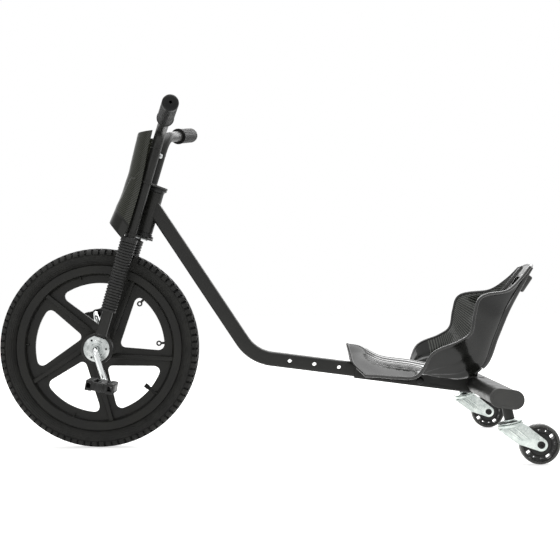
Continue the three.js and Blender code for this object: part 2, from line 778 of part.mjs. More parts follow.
function rimGeometry() {
  const bore = ROD_RADIUS + GAP;
  const half = [
    [bore, HUB_LENGTH / 2],
    [HUB_RADIUS, HUB_LENGTH / 2],
    [HUB_RADIUS, HUB_FLARE],
    [HUB_FLARE_RADIUS, WEB / 2],
    [RIM_STEP_RADIUS, WEB / 2],
    [RIM_STEP_RADIUS + RIM_STEP_RUN, RIM_WIDTH / 2 - RIM_FLANGE / 2],
    [RIM_RADIUS, RIM_WIDTH / 2],
    [RIM_RADIUS, RIM_WIDTH / 2 - RIM_FLANGE],
    [BEAD_SEAT_RADIUS, RIM_WIDTH / 2 - RIM_FLANGE],
    [BEAD_SEAT_RADIUS, beadIn],
    [WELL_RADIUS, beadIn - RIM_STEP_RUN],
  ];
  const disc = turned([...half, ...flipped(half)], WHEEL_SIDES);
  const windows = [];
  const ribs = EYELET_ANGLES.map(eyelet);
  for (let i = 0; i < SPOKES; i++) {
    const angle = SPOKE_ANGLE + (2 * Math.PI * i) / SPOKES;
    windows.push(plate(windowOutline(angle), RIM_WIDTH + OVERRUN));
    ribs.push(spokeRib(angle));
  }
  const wheel = join(cut(disc, ...windows.map(sideways)), ...ribs.map(sideways));
  const hole = rod(VALVE_RADIUS + GAP, WINDOW_RADIUS - OVERRUN, WELL_RADIUS + OVERRUN, BOLT_SIDES);
  const bored = rod(bore, -HUB_LENGTH, HUB_LENGTH, ROD_SIDES);
  return cut(wheel, valveAt(hole), bored);
}

// Crank axle and pedals, in the wheel's upright frame

function crankPoint(sign) {
  return vector(Math.sin(CRANK_ANGLE), 0, -Math.cos(CRANK_ANGLE)).multiplyScalar(-sign * CRANK_RADIUS);
}

const pedalOut = PEDAL_IN + PEDAL_WIDTH;

function crankAxleGeometry() {
  const corners = [];
  for (const sign of [-1, 1]) {
    const at = crankPoint(sign);
    const run = [
      vector(at.x, sign * (pedalOut + ROD_STAND), at.z),
      vector(at.x, sign * CRANK_OUT, at.z),
      vector(0, sign * CRANK_OUT, 0),
    ];
    corners.push(...(sign < 0 ? run : run.reverse()));
  }
  const section = new THREE.Shape(roundSection(ROD_RADIUS, BAR_SIDES));
  return swept(new BentLine(corners, ROD_BEND, CORNER_STEPS), section);
}

function pedalGeometry() {
  const long = PEDAL_WIDTH / 2;
  const tread = PEDAL_LENGTH / 2 - PEDAL_TREAD;
  const body = plate(roundedBox(PEDAL_LENGTH, PEDAL_WIDTH, PEDAL_CORNER), PEDAL_HEIGHT);
  const windows = [];
  const slots = [];
  for (const sign of [-1, 1]) {
    const inside = PEDAL_WIDTH - 2 * PEDAL_BRIDGE;
    const window = new THREE.BoxGeometry(tread - PEDAL_BARREL, inside, 2 * PEDAL_HEIGHT);
    windows.push(window.translate((sign * (tread + PEDAL_BARREL)) / 2, 0, 0));
    const slot = new THREE.BoxGeometry(PEDAL_SLOT_WIDTH, 2 * PEDAL_WIDTH, PEDAL_SLOT_HEIGHT);
    slots.push(slot.translate(sign * (tread + PEDAL_TREAD / 2), 0, 0));
  }
  const bore = rod(ROD_RADIUS + PEDAL_PLAY, -PEDAL_WIDTH, PEDAL_WIDTH, ROD_SIDES);
  return cut(join(cut(body, ...windows), rod(PEDAL_BARREL, -long, long, ROD_SIDES)), bore, ...slots);
}

function pedalCapGeometry() {
  const inner = ROD_RADIUS + GAP;
  const depth = ROD_STAND + GAP;
  const top = depth + CAP_WALL;
  const profile = [
    [0, depth],
    [inner, depth],
    [inner, GAP],
    [CAP_RADIUS, GAP],
    [CAP_RADIUS, depth],
    [inner, top],
    [0, top],
  ];
  return turned(profile, ROD_SIDES);
}

// Fork

function standing(geometry, x, y) {
  return upright(geometry).translate(x, y, 0);
}

const legFoot = HOUSING_RADIUS - OVERRUN;

function legGeometry() {
  const tube = pipe(LEG_RADIUS, LEG_RADIUS - LEG_WALL, legFoot, BAR_SPLIT, ROD_SIDES);
  const ring = rod(HOUSING_RADIUS + GAP, 0, 2 * LEG_SPREAD, ROUND_SIDES);
  return cut(standing(tube, LEG_BACK, LEG_SPREAD), ring, boltHole());
}

// Through the inner walls only.
function boltHole() {
  const hole = rod(BAR_BOLT_RADIUS + GAP, LEG_SPREAD - LEG_RADIUS - OVERRUN, LEG_SPREAD, BOLT_SIDES);
  return hole.translate(LEG_BACK, 0, BAR_BOLT_UP);
}

function barBoltGeometry() {
  const from = LEG_SPREAD - LEG_RADIUS - GAP;
  const bolt = boltGeometry(BAR_BOLT_RADIUS, BAR_BOLT_HEAD, BAR_BOLT_HEAD_HEIGHT, from, LEG_SPREAD);
  return bolt.translate(LEG_BACK, 0, BAR_BOLT_UP);
}

const barCorner = vector(LEG_BACK, LEG_SPREAD, BAR_CORNER);
const barEnd = vector(BAR_END_BACK, BAR_END_SIDE, BAR_END_UP);
const barDirection = barEnd.clone().sub(barCorner).normalize();

function handlebarGeometry() {
  const inGrip = barEnd.clone().addScaledVector(barDirection, -GRIP_END_WALL - GAP);
  const foot = vector(LEG_BACK, LEG_SPREAD, BAR_SPLIT + GAP);
  const line = new BentLine([foot, barCorner, inGrip], BAR_BEND, BEND_STEPS);
  const bar = swept(line, tubeSection(LEG_RADIUS, BAR_WALL, BAR_SIDES));
  const radius = LEG_RADIUS - LEG_WALL - GAP;
  const spigotFoot = BAR_SPLIT - SPIGOT_LENGTH;
  const spigot = pipe(radius, radius - SPIGOT_WALL, spigotFoot, BAR_SPLIT + OVERRUN / 2, ROD_SIDES);
  return cut(join(bar, standing(spigot, LEG_BACK, LEG_SPREAD)), boltHole());
}

// A grip along the bar, from its flange to its closed end.
function gripGeometry() {
  const bore = LEG_RADIUS + GAP;
  const shoulder = GRIP_LENGTH - GRIP_END_WALL;
  const profile = [
    [bore, 0],
    [GRIP_FLANGE_RADIUS, 0],
    [GRIP_FLANGE_RADIUS, GRIP_FLANGE],
    [GRIP_RADIUS, GRIP_FLANGE + CAP_WALL],
    [GRIP_RADIUS, shoulder - CAP_WALL],
    [GRIP_RADIUS - CAP_WALL, GRIP_LENGTH - GAP],
    [GRIP_END_HOLE, GRIP_LENGTH],
    [GRIP_END_HOLE, shoulder],
    [bore, shoulder],
  ];
  const turn = new THREE.Quaternion().setFromUnitVectors(vector(0, 1, 0), barDirection);
  const start = barEnd.clone().addScaledVector(barDirection, -GRIP_LENGTH);
  return turned(profile, ROUND_SIDES).applyQuaternion(turn).translate(start.x, start.y, start.z);
}

// A ribbed boot: two rings to a rib outside, a plain bore inside.
function gaiterGeometry() {
  const pitch = GAITER_LENGTH / GAITER_RIBS;
  const bore = (LEG_RADIUS + GAP) / Math.cos(Math.PI / GAITER_POINTS);
  const outside = [];
  for (let rib = 0; rib < GAITER_RIBS; rib++) {
    const share = (rib + 0.5) / GAITER_RIBS;
    const crest = THREE.MathUtils.lerp(GAITER_FOOT_RADIUS, GAITER_TOP_RADIUS, share);
    outside.push([crest - GAITER_VALLEY, GAITER_FOOT + pitch * rib]);
    outside.push([crest, GAITER_FOOT + share * GAITER_LENGTH]);
  }
  outside.push([GAITER_TOP_RADIUS - GAITER_VALLEY, GAITER_FOOT + GAITER_LENGTH]);
  const inside = [];
  for (let rib = GAITER_RIBS; rib > 0; rib -= GAITER_RIBS_PER_BORE_RING) {
    inside.push([bore, GAITER_FOOT + pitch * rib]);
  }
  inside.push([bore, GAITER_FOOT]);
  return standing(turned([...outside, ...inside], GAITER_POINTS), LEG_BACK, LEG_SPREAD);
}

function crownGeometry() {
  const outline = belt([
    { x: LEG_BACK, y: -LEG_SPREAD, radius: CROWN_END },
    { x: LEG_BACK, y: LEG_SPREAD, radius: CROWN_END },
    { x: STEER_BACK, y: 0, radius: CROWN_REAR },
  ]);
  const holes = [
    discHole(LEG_BACK, -LEG_SPREAD, LEG_RADIUS + GAP),
    discHole(LEG_BACK, LEG_SPREAD, LEG_RADIUS + GAP),
    discHole(STEER_BACK, 0, STEERER_RADIUS + GAP),
  ];
  return plate(outline, CROWN_THICKNESS, holes);
}

const crownTop = CROWN_HIGH + CROWN_THICKNESS / 2;

function steererGeometry() {
  const inner = STEERER_RADIUS - STEERER_WALL;
  const tube = pipe(STEERER_RADIUS, inner, CROWN_LOW - CROWN_THICKNESS, crownTop, ROUND_SIDES);
  return standing(tube, STEER_BACK, 0);
}

function housingGeometry() {
  const out = HOUSING_IN + HOUSING_WIDTH;
  const seat = BEARING_RADIUS + GAP;
  const shoulder = HOUSING_IN + BEARING_WIDTH + GAP;
  const lip = BEARING_RADIUS - CAP_WALL;
  const profile = [
    [seat, HOUSING_IN],
    [HOUSING_RADIUS, HOUSING_IN],
    [HOUSING_RADIUS, out],
    [lip, out],
    [lip, shoulder],
    [seat, shoulder],
  ];
  return turned(profile, ROUND_SIDES);
}

function bearingGeometry() {
  return pipe(BEARING_RADIUS, ROD_RADIUS + GAP, HOUSING_IN, HOUSING_IN + BEARING_WIDTH, ROUND_SIDES);
}

// A stepped cover disc, its outer rings lower than its boss, with three screw holes.
function coverGeometry() {
  const back = HOUSING_IN + HOUSING_WIDTH + GAP;
  const face = back + COVER_THICKNESS;
  const step = COVER_THICKNESS / 4;
  const bore = ROD_RADIUS + 2 * GAP;
  const ring = (bore + COVER_RADIUS) / 2;
  const profile = [
    [bore, back],
    [COVER_RADIUS, back],
    [COVER_RADIUS, face - 2 * step],
    [COVER_RADIUS - CAP_WALL, face - step],
    [ring + CAP_WALL, face - step],
    [ring, face],
    [bore, face],
  ];
  const holes = COVER_SCREW_ANGLES.map((angle) =>
    rod(COVER_SCREW_HOLE, back - OVERRUN, face + OVERRUN, BOLT_SIDES).translate(
      COVER_SCREW_CIRCLE * Math.cos(angle),
      0,
      COVER_SCREW_CIRCLE * Math.sin(angle),
    ),
  );
  return cut(turned(profile, ROUND_SIDES), ...holes);
}

function panelGeometry() {
  const grid = PANEL_STATION_SHARES.map(([middle, edge, front, rear, wide]) => {
    const nose = PANEL_BACK - front * PANEL_DEPTH;
    const tail = PANEL_BACK - rear * PANEL_DEPTH;
    const half = PANEL_SECTION_SHARES.map(([back, out]) =>
      vector(
        THREE.MathUtils.lerp(nose, tail, back),
        (out * wide * PANEL_WIDTH) / 2,
        PANEL_LOW + THREE.MathUtils.lerp(middle, edge, back) * PANEL_HEIGHT,
      ),
    );
    return [...half.slice(1).reverse().map((point) => vector(point.x, -point.y, point.z)), ...half];
  });
  const sheet = shell(grid, () => -PANEL_WALL);
  const nose = PANEL_BACK - PANEL_DEPTH * Math.min(...PANEL_STATION_SHARES.map((station) => station[2]));
  const reach = LEG_BACK - GAP - LEG_RADIUS - nose + OVERRUN;
  const tab = new THREE.BoxGeometry(reach, PANEL_TAB, PANEL_WALL);
  tab.translate(nose + (PANEL_WALL + reach) / 2, 0, crownTop + GAP + PANEL_WALL / 2);
  return join(sheet, tab);
}

// Head tube, cups and main tube

const cupLow = CROWN_LOW + CROWN_THICKNESS / 2 + GAP;
const cupHigh = CROWN_HIGH - CROWN_THICKNESS / 2 - GAP;
const headLow = cupLow + CUP_HEIGHT + GAP;
const headHigh = cupHigh - CUP_HEIGHT - GAP;

function headTubeGeometry() {
  const tube = pipe(HEAD_RADIUS, HEAD_RADIUS - HEAD_WALL, headLow, headHigh, ROUND_SIDES);
  return standing(tube, STEER_BACK, 0);
}

function cupGeometry(from, up) {
  const bore = STEERER_RADIUS + STEERER_PLAY;
  const skirt = HEAD_RADIUS - HEAD_WALL - GAP;
  const at = (height) => from + up * height;
  const profile = [
    [bore, at(0)],
    [CUP_LIP, at(0)],
    [CUP_LIP, at(CUP_HEIGHT / 2)],
    [HEAD_RADIUS, at(CUP_HEIGHT)],
    [skirt, at(CUP_HEIGHT)],
    [skirt, at(CUP_HEIGHT + CUP_SKIRT)],
    [bore, at(CUP_HEIGHT + CUP_SKIRT)],
  ];
  return standing(turned(profile, ROUND_SIDES), STEER_BACK, 0);
}

// Places in the run's frame: origin on the rear axle, +X down the run to the rear.
const toRun = new THREE.Matrix4()
  .makeTranslation(AXLE_BACK, 0, AXLE_HEIGHT)
  .multiply(new THREE.Matrix4().makeRotationY(RUN_SLOPE))
  .invert();
const forkFrame = new THREE.Matrix4()
  .makeTranslation(0, 0, WHEEL_RADIUS)
  .multiply(new THREE.Matrix4().makeRotationY(HEAD_TILT));
const forkToRun = toRun.clone().multiply(forkFrame);

function squareSection(size, wall, corner) {
  const hollow = size - 2 * wall;
  const shape = roundedBox(size, size, corner, TUBE_CORNER_STEPS);
  shape.holes.push(roundedBox(hollow, hollow, corner - wall, TUBE_INSIDE_STEPS));
  return shape;
}

const holePlaces = Array.from({ length: HOLES }, (_, i) => -LAST_HOLE - i * HOLE_PITCH);

function crossRod(radius, x, z, half) {
  return rod(radius, -half, half, BOLT_SIDES).translate(x, 0, z);
}

function mainTubeGeometry() {
  const up = THREE.MathUtils.lerp(CROWN_LOW, CROWN_HIGH, MAIN_JOIN_SHARE);
  const top = vector(STEER_BACK, 0, up).applyMatrix4(forkToRun);
  const corners = [vector(-MAIN_END, 0, 0), vector(-RUN_LENGTH, 0, 0), top];
  const line = new BentLine(corners, MAIN_BEND, BEND_STEPS);
  const tube = swept(line, squareSection(MAIN_TUBE, MAIN_WALL, MAIN_CORNER));
  const head = standing(rod(HEAD_RADIUS + GAP, CROWN_LOW, CROWN_HIGH, ROUND_SIDES), STEER_BACK, 0);
  head.applyMatrix4(forkToRun);
  return largest(cut(tube, head, ...holePlaces.map((x) => crossRod(HOLE_RADIUS, x, 0, MAIN_TUBE))));
}

const sleeveInside = MAIN_TUBE + 2 * GAP;
const sleeveOutside = sleeveInside + 2 * SLEEVE_WALL;

function sleeveGeometry() {
  const line = new BentLine([vector(-SLEEVE_LENGTH, 0, 0), vector(0, 0, 0)], 0, 0);
  const tube = swept(line, squareSection(sleeveOutside, SLEEVE_WALL, SLEEVE_CORNER));
  const face = sleeveOutside / 2 - GAP;
  const nut = rod(WELD_NUT_RADIUS, face, face + WELD_NUT_HEIGHT, NUT_SIDES);
  const nuts = lockPlaces.map((x) => nut.clone().translate(x, 0, 0));
  const holes = [
    ...lockPlaces.map((x) => crossRod(LOCK_RADIUS + GAP, x, 0, sleeveOutside)),
    crossRod(LOCK_RADIUS + GAP, -BRACKET_BOLT_AHEAD, -BRACKET_BOLT_DROP, sleeveOutside),
  ];
  return cut(join(tube, ...nuts), axleSpace(), ...holes);
}

const lockPlaces = LOCK_HOLES.map((i) => holePlaces[i]);

// A bolt along Y with a domed head on the left.
function boltGeometry(radius, head, headHeight, from, to) {
  const profile = [
    [0, from - headHeight],
    [head / 2, from - headHeight],
    [head, from - headHeight / 3],
    [head, from],
    [radius, from],
    [radius, to],
    [0, to],
  ];
  return turned(profile, BOLT_SIDES);
}

function lockBoltGeometry(x) {
  const from = -sleeveOutside / 2 - GAP;
  const to = sleeveOutside / 2 + WELD_NUT_HEIGHT;
  return boltGeometry(LOCK_RADIUS, LOCK_HEAD, LOCK_HEAD_HEIGHT, from, to).translate(x, 0, 0);
}

// Rear axle tube, caps and caster stems

// The axle tube with its gap, cut from what is welded to it.
function axleSpace() {
  return sideways(plate(obround(AXLE_TUBE_LONG + 2 * GAP, AXLE_TUBE_HIGH + 2 * GAP), AXLE_LENGTH));
}

function axleTubeGeometry() {
  const shape = obround(AXLE_TUBE_LONG, AXLE_TUBE_HIGH);
  const hole = obround(AXLE_TUBE_LONG - 2 * AXLE_WALL, AXLE_TUBE_HIGH - 2 * AXLE_WALL);
  return sideways(plate(shape, AXLE_LENGTH, [hole]));
}

function axleCapGeometry() {
  const over = 2 * (CAP_OVERHANG - AXLE_CAP_BEVEL);
  const cap = new THREE.ExtrudeGeometry(obround(AXLE_TUBE_LONG + over, AXLE_TUBE_HIGH + over), {
    depth: AXLE_CAP - 2 * AXLE_CAP_BEVEL,
    bevelThickness: AXLE_CAP_BEVEL,
    bevelSize: AXLE_CAP_BEVEL,
    bevelSegments: 1,
    curveSegments: CURVE_STEPS,
  }).translate(0, 0, -AXLE_LENGTH / 2 - GAP - AXLE_CAP + AXLE_CAP_BEVEL);
  const inner = 2 * (AXLE_WALL + GAP);
  const plug = plate(obround(AXLE_TUBE_LONG - inner, AXLE_TUBE_HIGH - inner), AXLE_CAP_PLUG);
  plug.translate(0, 0, -AXLE_LENGTH / 2 + AXLE_CAP_PLUG / 2 - 2 * GAP);
  return sideways(join(cap, plug));
}

const casterFrame = new THREE.Matrix4()
  .makeTranslation(CASTER_BACK, 0, CASTER_HEIGHT)
  .multiply(new THREE.Matrix4().makeRotationY(-CASTER_RAKE));
const runToCaster = toRun.clone().multiply(casterFrame).invert();

function stemGeometry() {
  const tube = upright(pipe(STEM_RADIUS, STEM_RADIUS - STEM_WALL, 0, STEM_LENGTH, BOLT_SIDES));
  return largest(cut(tube, axleSpace().applyMatrix4(runToCaster)));
}

// Casters

const raceTop = -GAP;
const raceFoot = raceTop - RACE_NECK_HEIGHT - RACE_HEIGHT;
const forkTop = raceFoot - 2 * GAP;
const forkHeadFoot = forkTop - FORK_HEAD_HEIGHT;

function raceGeometry() {
  const bore = KINGPIN_RADIUS + GAP;
  const shoulder = raceTop - RACE_NECK_HEIGHT;
  const profile = [
    [bore, raceTop],
    [RACE_NECK, raceTop],
    [RACE_NECK + RACE_NECK_HEIGHT, shoulder],
    [RACE_RADIUS, shoulder - RACE_HEIGHT / 2],
    [RACE_RADIUS, raceFoot],
    [bore, raceFoot],
  ];
  return upright(turned(profile, ROUND_SIDES));
}

function kingpinGeometry() {
  const headTop = forkHeadFoot - GAP;
  const top = STEM_RADIUS;
  const foot = headTop - KINGPIN_HEAD_HEIGHT;
  const profile = [
    [0, foot],
    [KINGPIN_HEAD, foot],
    [KINGPIN_HEAD, headTop],
    [KINGPIN_RADIUS, headTop],
    [KINGPIN_RADIUS, top],
    [0, top],
  ];
  return upright(turned(profile, ROD_SIDES));
}

const wheelSlot = CASTER_WHEEL_WIDTH / 2 + CASTER_SIDE_GAP;

// Pressed sheet fork: a flat-topped head and two cheeks that taper to the wheel's bolt.
function casterForkGeometry() {
  const end = { x: CASTER_TRAIL, y: -CASTER_DROP, radius: CASTER_END };
  const headMiddle = forkHeadFoot - CASTER_SHEET;
  const corner = CASTER_SHEET;
  const outline = belt([
    { x: corner - RACE_RADIUS, y: headMiddle, radius: corner },
    { x: RACE_RADIUS - corner, y: headMiddle, radius: corner },
    { x: CASTER_TRAIL - CASTER_WHEEL_RADIUS, y: -CASTER_FRONT_SHARE * CASTER_DROP, radius: corner },
    end,
  ]);
  const width = 2 * (wheelSlot + CASTER_SHEET);
  const cheeks = sideways(plate(outline, width));
  const slot = sideways(plate(roundedBox(4 * CASTER_WHEEL_RADIUS, 2 * CASTER_DROP, 0), 2 * wheelSlot));
  slot.translate(0, 0, forkHeadFoot - CASTER_SHEET - CASTER_DROP);
  const head = upright(rod(RACE_RADIUS, forkHeadFoot - CASTER_SHEET / 2, forkTop, ROUND_SIDES));
  const below = forkHeadFoot - 2 * OVERRUN;
  const hollow = upright(rod(KINGPIN_HEAD + CASTER_SHEET, below, forkHeadFoot, ROUND_SIDES));
  const bolt = rod(CASTER_AXLE_RADIUS + GAP, -width, width, ROD_SIDES).translate(end.x, 0, end.y);
  const pinRadius = KINGPIN_RADIUS + STEERER_PLAY;
  const pin = upright(rod(pinRadius, below, forkTop + OVERRUN, ROD_SIDES));
  const side = width / 2;
  const beads = CASTER_BEAD_BACKS.flatMap((back) => [casterBead(back, -side), casterBead(back, side)]);
  return cut(join(cheeks, head, ...beads), slot, hollow, bolt, pin);
}

// A pressed bead down a cheek, in line with the wheel's bolt.
function casterBead(back, side) {
  const top = flat(back, forkHeadFoot - CASTER_SHEET);
  const foot = flat(back + CASTER_TRAIL / 2, -CASTER_BEAD_SHARE * CASTER_DROP);
  const half = CASTER_BEAD_WIDTH / 2;
  const outline = [
    flat(top.x - half, top.y),
    flat(top.x + half, top.y),
    flat(foot.x + half, foot.y),
    flat(foot.x - half, foot.y),
  ];
  return sideways(plate(outline, 2 * CASTER_BEAD)).translate(0, side, 0);
}

function casterCoreGeometry() {
  const bore = CASTER_AXLE_RADIUS + GAP;
  const half = CASTER_WHEEL_WIDTH / 2;
  const dish = half - CASTER_CORE_DISH;
  const side = [
    [bore, wheelSlot - GAP],
    [CASTER_CORE_BOSS, wheelSlot - GAP],
    [CASTER_CORE_BOSS, dish],
    [CASTER_CORE_RADIUS, dish],
  ];
  const core = turned([...side, ...flipped(side)], ROUND_SIDES);
  const windows = [];
  for (let i = 0; i < CASTER_WINDOWS; i++) {
    const [out, along] = i % CASTER_WINDOWS_PER_BIG === 0 ? CASTER_BIG_WINDOW : CASTER_SMALL_WINDOW;
    const window = new THREE.BoxGeometry(out, 2 * CASTER_WHEEL_WIDTH, along);
    window.translate(CASTER_WINDOW_CIRCLE, 0, 0);
    windows.push(window.rotateY(-CASTER_WINDOW_ANGLE - (2 * Math.PI * i) / CASTER_WINDOWS));
  }
  return cut(core, ...windows);
}

function casterTyreGeometry() {
  const inner = (CASTER_CORE_RADIUS + GAP) / Math.cos(Math.PI / ROUND_SIDES);
  const half = CASTER_WHEEL_WIDTH / 2;
  const shoulder = (CASTER_WHEEL_RADIUS + inner) / 2;
  const side = [[inner, half - CASTER_CORE_DISH / 2], [shoulder, half], [CASTER_WHEEL_RADIUS, half / 2]];
  return turned([...side, ...flipped(side)], ROUND_SIDES);
}

function casterAxleGeometry() {
  const out = wheelSlot + CASTER_SHEET + GAP;
  const end = out + CASTER_AXLE_HEAD_HEIGHT;
  const head = [[CASTER_AXLE_RADIUS, out], [CASTER_AXLE_HEAD, out], [CASTER_AXLE_HEAD, end], [0, end]];
  return turned([...flipped(head), ...head], ROD_SIDES);
}

// Seat

function seatPoint(share) {
  const [along, across, up] = share.length === 2 ? [share[0], 0, share[1]] : share;
  return vector(along * SEAT_LENGTH, (across * SEAT_WIDTH) / 2, up * SEAT_HEIGHT);
}

// The seat's guide lines, one through each named point of the stations.
function seatGuide(key) {
  const points = SEAT_STATION_SHARES.map((station) => seatPoint(station[key]));
  return new THREE.CatmullRomCurve3(points, false, "centripetal");
}

function guideAt(guide, step) {
  return guide.getPoint(step / ((SEAT_STATION_SHARES.length - 1) * SEAT_STEPS));
}

// A ring of the seat, from its left rim through its middle to its right rim.
function seatSection(middle, corner, rim) {
  const floor = middle.clone().lerp(corner, FLOOR_SHARE);
  const right = [floor, corner, rim];
  const left = right.map((point) => vector(point.x, -point.y, point.z)).reverse();
  const line = new THREE.CatmullRomCurve3([...left, middle, ...right], false, "centripetal");
  return line.getPoints(SEAT_ROW_POINTS - 1);
}

function seatGrid() {
  const guides = ["middle", "corner", "rim"].map(seatGuide);
  const grid = [];
  for (let step = 0; step <= (SEAT_STATION_SHARES.length - 1) * SEAT_STEPS; step++) {
    grid.push(seatSection(...guides.map((guide) => guideAt(guide, step))));
  }
  return grid;
}

// Thicker at the rim, and along the back's rear corners.
function seatWall(i, j) {
  const fromRim = Math.min(j, SEAT_ROW_POINTS - 1 - j);
  if (fromRim === 0) return SEAT_WALL + SEAT_LIP;
  const inBack = i > (SEAT_STATION_SHARES.length / 2) * SEAT_STEPS;
  return fromRim === CORNER_COLUMN && inBack ? SEAT_WALL + SEAT_BEAD : SEAT_WALL;
}

// The bucket with its hand slot and grab bar, from its front peak.
function bucketGeometry() {
  const guide = seatGuide("middle");
  const at = guide.getPoint(BACK_SLOT_SHARE);
  const along = guide.getTangent(BACK_SLOT_SHARE);
  const lean = Math.atan2(along.x, along.z);
  const opening = roundedBox(BACK_SLOT_HEIGHT, BACK_SLOT_WIDTH, BACK_HANDLE_CORNER);
  const slot = plate(opening, 4 * BACK_HANDLE_DEPTH);
  const outline = roundedBox(BACK_HANDLE_HEIGHT, BACK_HANDLE_WIDTH, BACK_HANDLE_CORNER);
  const handle = plate(outline, BACK_HANDLE_DEPTH);
  handle.translate(0, 0, -BACK_HANDLE_DEPTH / 2);
  const turnBack = (geometry) => geometry.rotateY(lean - Math.PI / 2).translate(at.x, 0, at.z);
  return cut(join(shell(seatGrid(), seatWall), turnBack(handle)), turnBack(slot));
}

// The seat in the run's frame, with a pad under each bolt that stands on the bracket.
function seatGeometry() {
  const bucket = bucketGeometry().translate(-SEAT_FRONT, 0, SEAT_UP).rotateY(-RUN_SLOPE);
  const above = bucket.clone().translate(0, 0, SEAT_WALL / 2);
  const posts = [seatFoot(), ...seatBoltRods(PAD_RADIUS, ledge + GAP, padFloor + SEAT_WALL)];
  const pads = posts.map((post) => largest(cut(post, above)));
  const recesses = seatBoltRods(PAD_RECESS, padFloor, SEAT_HEIGHT);
  const holes = seatBoltRods(SEAT_BOLT_RADIUS + 2 * GAP, 0, SEAT_HEIGHT);
  return cut(join(bucket, ...pads), ...recesses, ...holes);
}

// A block under the seat that rests on the sleeve's end.
function seatFoot() {
  const block = new THREE.BoxGeometry(SEAT_FOOT_LENGTH, SEAT_FOOT_WIDTH, SEAT_FOOT_HEIGHT);
  const back = SEAT_FOOT_SHARE * SEAT_LENGTH - SEAT_FRONT;
  return block.translate(back, 0, sleeveTop + SEAT_FOOT_HEIGHT / 2);
}

// Seat bracket, in the run's frame: a plate over the sleeve with a cheek down each side of it.
function bracketGeometry() {
  const half = BRACKET_WIDTH / 2;
  const right = [
    [half, sleeveTop],
    [ledge, sleeveTop],
    [ledge, sleeveTop - BRACKET_CHEEK],
    [sleeveTop, sleeveTop - BRACKET_CHEEK],
    [sleeveTop, sleeveTop],
  ];
  const top = [flat(-half, ledge), flat(half, ledge)];
  const left = right.map(([y, z]) => [-y, z]).reverse();
  const outline = [...top, ...[...right, ...left].map(([y, z]) => flat(y, z))];
  const sheet = plate(outline, BRACKET_LENGTH);
  sheet.rotateX(Math.PI / 2).rotateZ(Math.PI / 2).translate(bracketMiddle, 0, 0);
  const cross = crossRod(LOCK_RADIUS + GAP, -BRACKET_BOLT_AHEAD, -BRACKET_BOLT_DROP, BRACKET_WIDTH);
  return cut(sheet, cross, ...seatBoltRods(SEAT_BOLT_RADIUS + 2 * GAP, 0, 2 * ledge));
}

const sleeveTop = sleeveOutside / 2 + GAP;
const ledge = sleeveTop + BRACKET_SHEET; // the plate's top, and as far out the cheeks' faces
const bracketMiddle = -BRACKET_FRONT + BRACKET_LENGTH / 2;
const padFloor = ledge + GAP + SEAT_WALL;

// A rod at each seat bolt, in the run's frame.
function seatBoltRods(radius, low, high) {
  const one = upright(rod(radius, low, high, BOLT_SIDES));
  return SIDES.map((side) => one.clone().translate(bracketMiddle, side.sign * SEAT_BOLT_OUT, 0));
}

function bracketBoltGeometry() {
  const bolt = boltGeometry(LOCK_RADIUS, LOCK_HEAD, LOCK_HEAD_HEIGHT, -ledge - GAP, ledge + OVERRUN);
  return bolt.translate(-BRACKET_BOLT_AHEAD, 0, -BRACKET_BOLT_DROP);
}

// A bolt down through the seat and the bracket, with its nut.
function seatBoltGeometry() {
  const under = padFloor + GAP;
  const top = under + SEAT_BOLT_HEAD_HEIGHT;
  const nut = sleeveTop - GAP;
  const foot = nut - SEAT_NUT_HEIGHT;
  const profile = [
    [0, foot],
    [SEAT_NUT_RADIUS, foot],
    [SEAT_NUT_RADIUS, nut],
    [SEAT_BOLT_RADIUS, nut],
    [SEAT_BOLT_RADIUS, under],
    [SEAT_BOLT_HEAD, under],
    [SEAT_BOLT_HEAD / 2, top],
    [0, top],
  ];
  return upright(turned(profile, BOLT_SIDES)).translate(bracketMiddle, 0, 0);
}

// Assembly

function framed(parent, x, y, z, turnY) {
  const group = new THREE.Group();
  group.position.set(x, y, z);
  group.rotation.y = turnY;
  parent.add(group);
  return group;
}

function addFrontWheel(wheel) {
  piece(wheel, "front_tyre", tyreGeometry(), FINISH.tyre);
  piece(wheel, "inner_tube", innerTubeGeometry(), FINISH.rubber);
  piece(wheel, "front_rim", rimGeometry(), FINISH.wheelPlastic);
  piece(wheel, "valve_stem", valveGeometry(), FINISH.rubber);
  piece(wheel, "crank_axle", crankAxleGeometry(), FINISH.chrome);
  for (const side of SIDES) {
    const at = crankPoint(side.sign);
    const middle = side.sign * (PEDAL_IN + PEDAL_WIDTH / 2);
    const pedal = framed(wheel, at.x, middle, at.z, PEDAL_TILTS[side.name]);
    piece(pedal, `pedal_${side.name}`, pedalGeometry(), FINISH.blackPlastic);
    const cap = handed(pedalCapGeometry(), side).translate(at.x, side.sign * pedalOut, at.z);
    piece(wheel, `pedal_cap_${side.name}`, cap, FINISH.blackPlastic);
  }
}

function addFork(fork) {
  piece(fork, "steerer", steererGeometry(), FINISH.steel);
  piece(fork, "crown_lower", crownGeometry().translate(0, 0, CROWN_LOW), FINISH.frame);
  piece(fork, "crown_upper", crownGeometry().translate(0, 0, CROWN_HIGH), FINISH.frame);
  piece(fork, "front_panel", panelGeometry(), FINISH.glossPlastic);
  const sided = [
    ["fork_leg", legGeometry, FINISH.frame],
    ["handlebar", handlebarGeometry, FINISH.frame],
    ["bar_bolt", barBoltGeometry, FINISH.steel],
    ["gaiter", gaiterGeometry, FINISH.rubber],
    ["grip", gripGeometry, FINISH.rubber],
    ["bearing_housing", housingGeometry, FINISH.frame],
    ["wheel_bearing", bearingGeometry, FINISH.steel],
    ["hub_cover", coverGeometry, FINISH.chrome],
  ];
  for (const side of SIDES) {
    for (const [name, make, material] of sided) {
      piece(fork, `${name}_${side.name}`, handed(make(), side), material);
    }
  }
}

